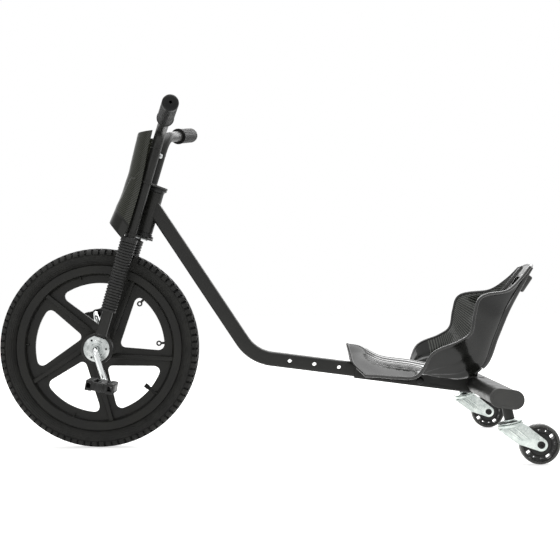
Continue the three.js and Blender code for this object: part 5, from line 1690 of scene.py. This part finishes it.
@dataclass
class FrameTubes:
    """Head tube with its cups, bent main tube, rear sleeve and their bolts."""

    stance: Stance
    head: float = 17.7
    head_wall: float = 2.6
    head_edge: float = 0.6
    cup_faces: Pair = (245.3, 349.7)
    # how far each cup covers the head tube, from its face
    cup_depth: float = 9.3
    cup_shape: tuple[Pair, ...] = (
        (13.3, 0), (21.6, 0), (22.0, 0.5), (22.0, 3.6), (21.2, 4.6), (19.2, 5.0), (18.6, 6.2),
        (18.4, 8.4), (17.7, 9.0), (14.8, 9.0), (14.8, 17.0), (13.3, 17.0),
    )
    join_up: float = 313.85
    tube: float = 29.0
    tube_wall: float = 2.0
    tube_corner: float = 5.0
    bend: float = 85.0
    run_length: float = 475.0
    tube_end: float = 165.0
    sleeve: float = 35.0
    sleeve_wall: float = 2.7
    sleeve_corner: float = 4.5
    sleeve_length: float = 262.0
    sleeve_end: float = 4.0
    last_hole: float = 192.4
    hole_pitch: float = 51.4
    hole: float = 4.4
    holes: int = 5
    bolt_hole: float = 4.3
    bracket_bolt: Pair = (-127.6, -5.0)

    def head_mesh(self) -> Mesh:
        """The head tube, with its edges broken."""
        low, high = self.cup_faces[0] + self.cup_depth, self.cup_faces[1] - self.cup_depth
        inner, outer, edge = self.head - self.head_wall, self.head, self.head_edge
        profile = [
            (inner, low), (outer - edge, low), (outer, low + edge), (outer, high - edge),
            (outer - edge, high), (inner, high),
        ]
        return stood(spun(profile, 64), self.stance.steer_back)

    def cup(self, face: float, up: int) -> Mesh:
        """A bearing cup: lip, groove and skirt."""
        profile = [(radius, face + up * along) for radius, along in self.cup_shape]
        return stood(spun(profile, 64), self.stance.steer_back)

    def cross_hole(self, x: float, z: float, radius: float) -> Mesh:
        """A cutter across the run."""
        return moved(pin(radius, -40, 40, 32), Place(x, 0, z).matrix)

    def main_mesh(self) -> Mesh:
        """The bent square tube, coped to the head tube and drilled."""
        back = self.stance.steer_back
        to_run = self.stance.run.matrix.inverted() @ self.stance.fork.matrix
        join = (to_run @ (Vector((back, 0, self.join_up)) * MM)) / MM
        corners = [(-self.tube_end, 0, 0), (-self.run_length, 0, 0), join]
        frames = BentLine(corners, self.bend, 12, (0, 1, 0)).frames()
        outline = rounded_square(self.tube, self.tube, self.tube_corner)
        tube = thickened(swept(outline, frames, capped=False), self.tube_wall)
        head = moved(
            moved(pin(self.head - 0.4, 230, 365, 64), UPRIGHT), to_run @ Place(back, 0, 0).matrix
        )
        places = [-self.last_hole - i * self.hole_pitch for i in range(self.holes)]
        cut = carved(tube, [head, *[self.cross_hole(x, 0, self.hole) for x in places]])
        beyond = [face for face in cut.faces if face.calc_center_median().x < join[0] * MM]
        bmesh.ops.delete(cut, geom=beyond, context="FACES")
        return cut

    def sleeve_mesh(self) -> Mesh:
        """The outer sleeve with its end rim, weld nuts and bolt holes."""
        outline = rounded_square(self.sleeve, self.sleeve, self.sleeve_corner)
        run = straight((-self.sleeve_length, 0, 0), (self.sleeve_end, 0, 0))
        tube = thickened(swept(outline, run, capped=False), self.sleeve_wall)
        places = [-self.last_hole, -self.last_hole - self.hole_pitch]
        bolts = [(x, 0) for x in places] + [self.bracket_bolt]
        cut = carved(tube, [self.cross_hole(x, z, self.bolt_hole) for x, z in bolts])
        parts = [rounded(cut, 0.5, 2, 50)]
        for x in places:
            nut = spun([(4.3, 17.2), (8.0, 17.2), (8.0, 22.8), (7.4, 23.3), (4.3, 23.3)], 6)
            parts.append(moved(rounded(nut, 0.4, 2, 20), Place(x, 0, 0).matrix))
        return merged(parts)

    def dome_bolt(self, x: float, z: float, face: float, end: float) -> Mesh:
        """A domed bolt along Y with a hexagon socket, its head on the left."""
        dome = ((0, 4.5), (3.0, 4.4), (5.4, 3.8), (6.9, 2.6), (7.5, 1.2), (7.5, 0), (4.0, 0))
        profile = [(radius, face - proud) for radius, proud in dome]
        profile += [(4.0, end - 0.8), (3.4, end), (0, end)]
        bolt = carved(spun(profile, 40, closed=False), [pin(2.8, face - 9, face - 2.0, 6)])
        return moved(bolt, Place(x, 0, z).matrix)

    def build(self) -> None:
        """Makes the tubes, the cups and the bolts."""
        fork, run, body = self.stance.fork.matrix, self.stance.run.matrix, Body.FRAME.value
        deliver("head_tube_smooth", self.head_mesh(), fork, POWDER_COAT, body, ["head_tube"])
        for name, face, up in zip(("lower", "upper"), self.cup_faces, (1, -1)):
            node = f"headset_cup_{name}"
            deliver(f"bearing_cup_{name}", self.cup(face, up), fork, MOULDED_PP, body, [node])
        for name, tube, node in (
            ("bent_main_tube", self.main_mesh(), "main_tube"),
            ("sleeve_with_nuts", self.sleeve_mesh(), "rear_sleeve"),
        ):
            deliver(name, tube, run, POWDER_COAT, body, [node], sharp=40)
        half = self.sleeve / 2
        rear, front = -self.last_hole, -self.last_hole - self.hole_pitch
        for name, at, head, nut, node in (
            ("lock_screw_rear", (rear, 0), 0.3, 6, "lock_bolt_rear"),
            ("lock_screw_front", (front, 0), 0.3, 6, "lock_bolt_front"),
            ("bracket_screw", self.bracket_bolt, 3.6, 9, "bracket_bolt"),
        ):
            bolt = self.dome_bolt(*at, -half - head, half + nut)
            deliver(name, bolt, run, BLACK_STEEL, body, [node])


def obround(long: float, high: float, sides: int = 32) -> list[Pair]:
    """A flat-oval outline, in millimetres."""
    run, radius = (long - high) / 2, high / 2
    points = []
    for end in (1, -1):
        for i in range(sides // 2 + 1):
            turn = math.radians(90) * -end + math.pi * i / (sides // 2)
            points.append((end * run + radius * math.cos(turn), radius * math.sin(turn)))
    return points


@dataclass
class RearAxle:
    """The flat-oval cross tube, its end caps and the caster stems."""

    stance: Stance
    length: float = 600.0
    long: float = 60.0
    high: float = 32.0
    wall: float = 2.0
    cap: float = 5.0
    overhang: float = 2.0
    cap_gap: float = 0.3

    def tube(self) -> Mesh:
        """The cross tube."""
        half = self.length / 2
        frames = straight((0, -half, 0), (0, half, 0), (1, 0, 0))
        return thickened(swept(obround(self.long, self.high, 48), frames, capped=False), self.wall)

    def cap_mesh(self) -> Mesh:
        """A cap's face: domed edge and a shallow moulded panel."""
        lap = 2 * self.overhang
        outline = obround(self.long + lap, self.high + lap, 48)
        start = self.length / 2 + self.cap_gap
        bm = slab(outline, start, start + self.cap)
        outer = max(bm.faces, key=lambda face: face.calc_center_median().y)
        bevelled(bm, list(outer.edges), 1.6 * MM, 4)
        outer = max(bm.faces, key=lambda face: face.calc_area() + face.calc_center_median().y)
        for inset, depth in ((3.6, 0.0), (0.5, -0.5)):
            bmesh.ops.inset_region(
                bm, faces=[outer], thickness=inset * MM, depth=depth * MM, use_even_offset=True
            )
        return bm

    def stem(self) -> Mesh:
        """A raked stub under the tube."""
        return stood(spun([(7.3, 0), (9.0, 0), (9.5, 0.5), (9.5, 33), (7.3, 33)], 48))

    def build(self) -> None:
        """Makes the tube, caps and stems."""
        run, body = self.stance.run.matrix, Body.FRAME.value
        deliver("flat_oval_axle", self.tube(), run, POWDER_COAT, body, ["axle_tube"])
        for side in Side:
            cap, at = handed(self.cap_mesh(), side), self.stance.caster(side).matrix
            deliver_side(side, "axle_end_cap", cap, run, CAP_PE, body, "axle_cap")
            deliver_side(side, "raked_stem", self.stem(), at, POWDER_COAT, body, "caster_stem")


@dataclass
class Seat:
    """The moulded bucket: pan with fanned grooves, wings, back, rolled rim and grab handle."""

    stance: Stance
    length: float = 382.0
    height: float = 226.0
    width: float = 300.0
    front: float = 275.4
    up: float = 23.0
    wall: float = 4.0
    floor_share: float = 0.55
    across: int = 144
    along: int = 8
    # each station: middle, floor corner and rim, as shares of length, half width and height
    stations: tuple[tuple[tuple[float, ...], ...], ...] = (
        ((0, 0, 0.29), (0.024, 0.293, 0.124), (0.084, 0.573, 0.027)),
        ((0.071, 0, 0.27), (0.089, 0.333, 0.146), (0.157, 0.633, 0.022)),
        ((0.175, 0, 0.181), (0.188, 0.427, 0.111), (0.246, 0.693, 0.013)),
        ((0.325, 0, 0.142), (0.33, 0.56, 0.084), (0.34, 0.753, 0.022)),
        ((0.455, 0, 0.102), (0.45, 0.747, 0.049), (0.424, 0.96, 0.243)),
        ((0.594, 0, 0.066), (0.586, 0.813, 0.04), (0.55, 0.987, 0.335)),
        ((0.694, 0, 0.146), (0.686, 0.8, 0.128), (0.607, 0.987, 0.405)),
        ((0.759, 0, 0.372), (0.749, 0.773, 0.367), (0.627, 0.987, 0.565)),
        ((0.822, 0, 0.588), (0.806, 0.72, 0.58), (0.655, 0.96, 0.702)),
        ((0.895, 0, 0.779), (0.885, 0.467, 0.77), (0.822, 0.653, 0.77)),
        ((0.948, 0, 0.912), (0.94, 0.333, 0.903), (0.906, 0.467, 0.881)),
        ((0.984, 0, 1.004), (0.979, 0.253, 0.996), (0.958, 0.387, 0.978)),
    )
    # the pan's grooves: places across from the middle, and where they start and end along
    grooves: tuple[float, ...] = (0.04, 0.12, 0.2, 0.28, 0.345, 0.395, 0.445)
    groove_run: Pair = (0.1, 0.6)
    groove_depth: float = 3.4
    # the grooves' width at the front, and how they fan out and widen along their run
    groove_width: float = 0.008
    groove_fan: Pair = (0.8, 0.25)
    groove_fade: float = 5.0
    # every so many points of the sheet's edge, the rim has one
    rim_step: int = 3
    rim_radius: float = 3.3
    rim_inset: float = 1.2
    flange_run: Pair = (0.53, 0.98)
    flange_shift: Triple = (2.2, 1.0, -0.6)
    flange_points: int = 60
    slot_share: float = 0.865
    slot_size: Triple = (80.0, 60.0, 20.0)
    handle_size: Triple = (17.0, 100.0, 38.0)
    handle_back: float = 7.6
    screw_at: Pair = (-127.5, 58.0)
    foot_size: Triple = (16.0, 24.0, 31.0)
    foot_at: Triple = (-17.9, 0.0, 33.3)

    def point(self, shares: Point) -> Vector:
        """A named place of a station, in the seat's frame."""
        along, out, up = shares
        return Vector((along * self.length, out * self.width / 2, up * self.height))

    @property
    def guides(self) -> list[GuideLine]:
        """The guide lines through the stations' middles, corners and rims."""
        return [GuideLine([self.point(station[i]) for station in self.stations]) for i in range(3)]

    def ring(self, guides: Sequence[GuideLine], share: float) -> GuideLine:
        """The line across the seat at one share of its length."""
        middle, corner, rim = (guide.at(share) for guide in guides)
        right = [middle.lerp(corner, self.floor_share), corner, rim]
        left = [Vector((p.x, -p.y, p.z)) for p in reversed(right)]
        return GuideLine([*left, middle, *right])

    def groove(self, along: float, across: float) -> float:
        """How deep the pan's fanned grooves are at a place, in millimetres."""
        start, end = self.groove_run
        if not start < along < end:
            return 0.0
        run = (along - start) / (end - start)
        fade = min(1.0, self.groove_fade * run, self.groove_fade * (1 - run))
        spread = self.groove_fan[0] + self.groove_fan[1] * run
        width = self.groove_width * (1 + run)
        off = abs(across - 0.5)
        depth = sum(math.exp(-(((off - place * spread) / width) ** 2)) for place in self.grooves)
        return self.groove_depth * fade * depth

    def rows(self) -> list[list[Vector]]:
        """The bucket's outer surface, ring by ring."""
        guides = self.guides
        last = (len(self.stations) - 1) * self.along
        made = []
        for i in range(last + 1):
            ring = self.ring(guides, i / last)
            row = [ring.at(j / self.across) for j in range(self.across + 1)]
            for j, point in enumerate(row):
                point.z -= self.groove(i / last, j / self.across)
            made.append(row)
        return made

    def rim_bead(self, rows: Sequence[Sequence[Vector]]) -> Mesh:
        """The rolled rim all the way round the bucket."""
        step = self.rim_step
        some = slice(step, -step, step)
        left, right = [row[0] for row in rows], [row[-1] for row in rows]
        inner_left, inner_right = [row[step] for row in rows], [row[-step - 1] for row in rows]
        loop = [*left, *rows[-1][some], *right[::-1], *rows[0][some][::-1]]
        toward = [*inner_left, *rows[-step - 1][some], *inner_right[::-1], *rows[step][some][::-1]]
        count = len(loop)
        path = []
        for i, (point, inside) in enumerate(zip(loop, toward)):
            along = (loop[(i + 1) % count] - loop[i - 1]).normalized()
            inward = (inside - point).normalized()
            out = along.cross(inward).normalized() * -self.wall / 2 * 1.1
            path.append(point + out + inward * self.rim_inset)
        frames = []
        # a direction that the rim never runs along
        reference = Vector((0.62, 0.48, -0.62))
        for i, point in enumerate(path):
            along = (path[(i + 1) % count] - path[i - 1]).normalized()
            across = (reference - along * along.dot(reference)).normalized()
            turn = Matrix((across, along.cross(across), along)).transposed().to_4x4()
            frames.append(Matrix.Translation(point * MM) @ turn)
        bm = swept(circle(self.rim_radius, 14), [*frames, frames[0]], capped=False)
        bmesh.ops.remove_doubles(bm, verts=bm.verts, dist=WELD)
        return faced_out(bm)

    def rear_flange(self, sign: int) -> Mesh:
        """The raised rib down a rear corner of the back."""
        guide, last = self.guides[1], self.flange_points
        start, end = self.flange_run
        back, out, up = self.flange_shift
        points = []
        for i in range(last + 1):
            point = guide.at(start + (end - start) * i / last)
            points.append(Vector((point.x + back, sign * (abs(point.y) + out), point.z + up)))
        line = BentLine([points[0], points[-1]], 0, 0, (0, 1, 0))
        line.stops = points
        outline = [(x * 0.8, y * 1.25) for x, y in circle(4.6, 16)]
        return swept(outline, line.frames())

    def slot_matrix(self) -> Matrix:
        """The hand slot's frame: its middle on the back, with +Z along the back."""
        guide = self.guides[0]
        at, ahead = guide.at(self.slot_share), guide.at(self.slot_share + 0.01)
        lean = math.atan2(ahead.x - at.x, ahead.z - at.z)
        return Place(at.x, 0, at.z, math.degrees(lean)).matrix

    def handle(self) -> Mesh:
        """The boss behind the hand slot, that makes it a grab handle."""
        bm = rounded(block(self.handle_size, (self.handle_back, 0, 0)), 4.6, 4)
        return moved(bm, self.slot_matrix())

    def slot(self) -> Mesh:
        """The hand slot's cutter."""
        return moved(rounded(block(self.slot_size), 6.0, 5, 80), self.slot_matrix())

    def bucket(self) -> tuple[Mesh, Mesh]:
        """The bucket with its wall and hand slot, and the rim, flanges and handle."""
        rows = self.rows()
        bucket = carved(thickened(draped(rows), self.wall), [self.slot()])
        handle = carved(self.handle(), [self.slot()])
        trim = merged([self.rim_bead(rows), self.rear_flange(1), self.rear_flange(-1), handle])
        return bucket, trim

    def seat_screw(self, side: Side) -> Mesh:
        """A pan-head screw down through the pan, with its nut."""
        profile = [
            (0, 9.9), (5.8, 9.9), (5.8, 14.8), (3.0, 14.8), (3.0, 25.4), (7.0, 25.4), (7.0, 26.4),
            (5.8, 27.6), (3.4, 28.3), (0, 28.4),
        ]
        back, out = self.screw_at
        return stood(spun(profile, 40, closed=False), back, side.sign * out)

    def build(self) -> None:
        """Makes the bucket, its trim, its foot and its screws."""
        run, body = self.stance.run.matrix, Body.FRAME.value
        level = run @ about_axle(self.stance.run_slope)
        place = level @ Place(-self.front, 0, self.up).matrix
        bucket, trim = self.bucket()
        deliver("moulded_bucket", bucket, place, WOVEN_ABS, body, ["seat"], sharp=50)
        deliver("bucket_rim_and_handle", trim, place, GLOSS_ABS, body, sharp=40)
        foot = rounded(block(self.foot_size, self.foot_at), 1.2)
        deliver("seat_rest_foot", foot, run, GLOSS_ABS, body)
        for side in Side:
            deliver_side(
                side, "seat_screw", self.seat_screw(side), run, BOLT_STEEL, body, "seat_bolt"
            )


@dataclass
class Casters:
    """Both swivel casters: races, pressed forks, wheels and their axles."""

    stance: Stance
    trail: float = 42.9
    drop: float = 57.7
    wheel: float = 37.5
    width: float = 24.0
    slot_half: float = 14.0
    sheet: float = 2.5
    head: float = 23.9
    # how far below the races the cheeks start
    cheek_top: float = -15.4
    beads: Pair = (-9.0, 3.0)
    bead_half: Pair = (2.1, 1.5)
    axle: float = 4.3
    windows: int = 12
    window_circle: float = 26.0
    window_angle: float = -55.7
    # every third window is a big one: out and along
    big_window: Pair = (8.0, 9.0)
    small_window: Pair = (3.0, 6.0)

    def race(self) -> Mesh:
        """The fixed upper race: neck, rolled cup and its lip over the balls."""
        profile = [
            (5.3, -0.3), (10.4, -0.3), (11.0, -0.9), (11.4, -2.4), (14.2, -3.1), (18.0, -3.3),
            (21.6, -3.8), (23.4, -4.8), (23.9, -5.9), (23.5, -6.6), (22.8, -6.8), (5.3, -6.8),
        ]
        return stood(spun(profile, 72))

    def fork(self) -> Mesh:
        """The pressed fork: head with its ball track, and two cheeks with beads."""
        sheet, top = self.sheet, self.cheek_top
        discs = [
            (sheet - self.head, top, sheet), (self.head - sheet, top, sheet),
            (self.trail - self.wheel, -0.8 * self.drop, sheet), (self.trail, -self.drop, 12.5),
        ]
        half = self.slot_half + sheet
        cheeks = rounded(belted(discs, -half, half, 40), 1.6, 3)
        slot = block((260, 2 * self.slot_half, 2 * self.drop), (0, 0, top - self.drop))
        bolt = moved(pin(self.axle, -60, 60, 32), Place(self.trail, 0, -self.drop).matrix)
        cut = carved(cheeks, [slot, bolt])
        profile = [
            (5.6, -7.4), (12.0, -7.4), (14.0, -8.3), (16.2, -7.9), (19.0, -7.5), (22.2, -7.7),
            (23.7, -8.8), (23.9, -10.6), (23.9, -13.4), (22.6, -14.3), (5.6, -14.3),
        ]
        parts = [cut, stood(spun(profile, 72))]
        parts += [self.bead(back, sign * half) for back in self.beads for sign in (-1, 1)]
        return merged(parts)

    def bead(self, back: float, across: float) -> Mesh:
        """A pressed bead down a cheek, long, round and shallow."""
        top = Vector((back, self.cheek_top))
        foot = Vector((back + self.trail / 2, -0.75 * self.drop))
        middle, run = (top + foot) / 2, foot - top
        bm = bmesh.new()
        bmesh.ops.create_uvsphere(bm, u_segments=24, v_segments=16, radius=1)
        lean = math.degrees(math.atan2(run.x, run.y))
        wide, deep = self.bead_half
        size = Matrix.Diagonal((wide * MM, deep * MM, run.length / 2 * MM, 1))
        return moved(bm, Place(middle.x, across, middle.y, lean).matrix @ size)

    def core_mesh(self) -> Mesh:
        """The wheel's core, with big and small windows and a boss."""
        dish = self.width / 2 - 3
        half = [
            (self.axle, 13.7), (10.6, 13.7), (12.0, 12.6), (12.0, dish + 0.4), (13.0, dish - 0.6),
            (20.4, dish - 1.2), (22.0, dish), (30.4, dish), (31.0, dish - 0.6),
        ]
        cutters = []
        for i in range(self.windows):
            out, along = self.big_window if i % 3 == 0 else self.small_window
            cutter = rounded(block((out, 60, along), (self.window_circle, 0, 0)), 0.9, 3, 80)
            cutters.append(moved(cutter, about_axle(self.window_angle + 360 * i / self.windows)))
        return carved(spun_even(half, 72), cutters)

    def tread(self) -> Mesh:
        """The wheel's round tread."""
        half = [
            (31.3, 10.4), (32.2, 11.2), (34.0, 11.8), (35.6, 11.0), (36.7, 9.0), (37.3, 6.0),
            (self.wheel, 2.0),
        ]
        return spun_even(half, 96)

    def axle_mesh(self) -> Mesh:
        """The wheel's axle bolt, with a hexagon socket in each head."""
        half = [(4.0, 16.8), (6.4, 16.8), (6.8, 17.2), (6.8, 19.4), (6.0, 20.2), (0, 20.3)]
        bm = spun([*mirrored(half), *half], 40, closed=False)
        return carved(bm, [pin(3.2, low, low + 12, 6) for low in (18.0, -30.0)])

    def build(self) -> None:
        """Makes both casters."""
        for side in Side:
            swivel = self.stance.caster(side)
            wheel = swivel.at(self.trail, 0, -self.drop, self.stance.caster_rake)
            turns, rolls = Body.CASTER.on(side), Body.CASTER_WHEEL.on(side)
            for name, bm, place, finish, body, node in (
                ("upper_race", self.race(), swivel.matrix, ZINC_PLATE, Body.FRAME.value, "race"),
                ("pressed_fork", self.fork(), swivel.matrix, ZINC_PLATE, turns, "fork"),
                ("wheel_core", self.core_mesh(), wheel, MOULDED_PP, rolls, "core"),
                ("wheel_tread", self.tread(), wheel, CAST_PU, rolls, "tyre"),
                ("wheel_axle", self.axle_mesh(), wheel, BLACK_STEEL, rolls, "axle"),
            ):
                deliver_side(side, name, bm, place, finish, body, f"caster_{node}")


@dataclass
class HiddenParts:
    """The model's own nodes that still show in part, dressed as what they are."""

    finishes: dict[str, Finish] = field(default_factory=lambda: {
        "inner_tube": SOFT_RUBBER, "steerer": BOLT_STEEL, "seat_bracket": POWDER_COAT,
        "wheel_bearing_left": BOLT_STEEL, "wheel_bearing_right": BOLT_STEEL,
        "kingpin_left": BOLT_STEEL, "kingpin_right": BOLT_STEEL,
    })

    def build(self) -> None:
        """Gives each node its finish."""
        for name, finish in self.finishes.items():
            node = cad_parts[name]
            for slot in node.material_slots:
                slot.material = finish.build()
            log.info("%s: the model's own node in %s", name, finish.name)


@dataclass(frozen=True)
class SoftBox:
    """A lamp: where it hangs and what it points at, its width and height, and its watts.

    Its lengths are metres.
    """

    name: str
    at: Triple
    aim: Triple
    size: Pair
    power: float

    def build(self) -> None:
        """Hangs the lamp."""
        data = bpy.data.lights.new(self.name, "AREA")
        data.shape = "RECTANGLE"
        data.size, data.size_y = self.size
        data.energy = self.power
        lamp = bpy.data.objects.new(self.name, data)
        lamp.location = self.at
        aim = Vector(self.aim) - Vector(self.at)
        lamp.rotation_euler = aim.to_track_quat("-Z", "Y").to_euler()
        bpy.context.scene.collection.objects.link(lamp)


@dataclass
class Studio:
    """A white sweep, soft lamps and the camera."""

    eye: Triple = (373.1, -2560.0, 342.3)
    half_view: float = 579.8
    roll: float = 0.4
    sensor: float = 36.0
    # how far the camera sees, half the floor's width and how deep it lies, in metres
    far: float = 60.0
    floor_half: float = 9.0
    floor_drop: float = 0.0004
    fill: float = 0.36
    floor_glow: float = 0.72
    boxes: tuple[SoftBox, ...] = (
        SoftBox("overhead_box", (0.1, 0.2, 2.3), (0.1, 0.0, 0.2), (2.4, 1.8), 44),
        SoftBox("front_box", (-1.3, -2.3, 1.4), (0.0, 0.0, 0.25), (1.4, 1.4), 7),
        SoftBox("rear_box", (1.9, 1.5, 1.5), (0.2, 0.0, 0.2), (1.4, 1.2), 14),
        SoftBox("back_box", (0.1, 2.4, 1.5), (0.2, 0.0, 0.15), (2.4, 1.0), 24),
    )

    def seen(self, tree: Tree) -> Socket:
        """Tells what the camera sees, also in metal and through glass, from what lights the trike.

        Args:
            tree: the material's or the world's nodes.

        Returns:
            The socket with 1 for what is seen and 0 for what lights.
        """
        rays = add_node(tree, "ShaderNodeLightPath").outputs
        others = combined(tree, "MAXIMUM", rays["Is Glossy Ray"], rays["Is Transmission Ray"])
        return combined(tree, "MAXIMUM", rays["Is Camera Ray"], others)

    def floor(self) -> None:
        """The pale floor, that the camera sees as white where no shadow falls."""
        bm = bmesh.new()
        bmesh.ops.create_grid(bm, x_segments=1, y_segments=1, size=self.floor_half)
        bmesh.ops.translate(bm, verts=bm.verts, vec=(0, 0, -self.floor_drop))
        floor = as_object("studio_floor", bm)
        material = bpy.data.materials.new("matt_white_paint")
        material.use_nodes = True
        tree = material.node_tree
        shader = tree.nodes["Principled BSDF"]
        shader.inputs["Base Color"].default_value = linear("#e9e9e7")
        shader.inputs["Roughness"].default_value = 0.9
        shader.inputs["Specular IOR Level"].default_value = 0.0
        glow = add_node(
            tree, "ShaderNodeMath", {1: self.floor_glow}, {0: self.seen(tree)}, operation="MULTIPLY"
        )
        colour, strength = {"Color": (1, 1, 1, 1)}, {"Strength": glow.outputs[0]}
        white = add_node(tree, "ShaderNodeEmission", colour, strength).outputs[0]
        both = add_node(tree, "ShaderNodeAddShader", {}, {0: shader.outputs[0], 1: white})
        tree.links.new(both.outputs[0], tree.nodes["Material Output"].inputs["Surface"])
        floor.data.materials.append(material)

    def world(self) -> None:
        """A pale world: white to the camera, a soft fill to the object."""
        world = bpy.data.worlds.new("white_studio")
        world.use_nodes = True
        tree = world.node_tree
        strength = remapped(tree, self.seen(tree), {"To Min": self.fill, "To Max": 1.0})
        backdrop = tree.nodes["Background"]
        backdrop.inputs["Color"].default_value = (1, 1, 1, 1)
        tree.links.new(strength, backdrop.inputs["Strength"])
        bpy.context.scene.world = world

    def camera(self, stance: Stance) -> None:
        """The camera, at the photograph's height and side."""
        data = bpy.data.cameras.new("studio_camera")
        data.sensor_width = self.sensor
        data.lens = self.sensor / 2 / (self.half_view / -self.eye[1])
        data.clip_end = self.far
        camera = bpy.data.objects.new("studio_camera", data)
        camera.location = Vector((stance.wheel_x + self.eye[0], self.eye[1], self.eye[2])) * MM
        camera.rotation_euler = (math.radians(90), math.radians(self.roll), 0)
        bpy.context.scene.collection.objects.link(camera)
        bpy.context.scene.camera = camera

    def build(self, stance: Stance) -> None:
        """Sets the stage, the light and the camera."""
        self.floor()
        self.world()
        for box in self.boxes:
            box.build()
        self.camera(stance)


def main() -> None:
    """Builds the trike and its studio."""
    logging.basicConfig(level=logging.INFO, format="%(name)s %(message)s")
    bpy.context.scene.view_settings.view_transform = "Standard"
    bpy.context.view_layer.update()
    stance = Stance()
    assemblies = (
        FrontTyre, SpokedWheel, CrankAndPedals, Fork, Handlebars, FrontPanel, FrameTubes, RearAxle,
        Seat, Casters,
    )
    for assembly in assemblies:
        log.info("building %s", assembly.__name__)
        assembly(stance).build()
    HiddenParts().build()
    Studio().build(stance)


if __name__ == "__main__":
    main()
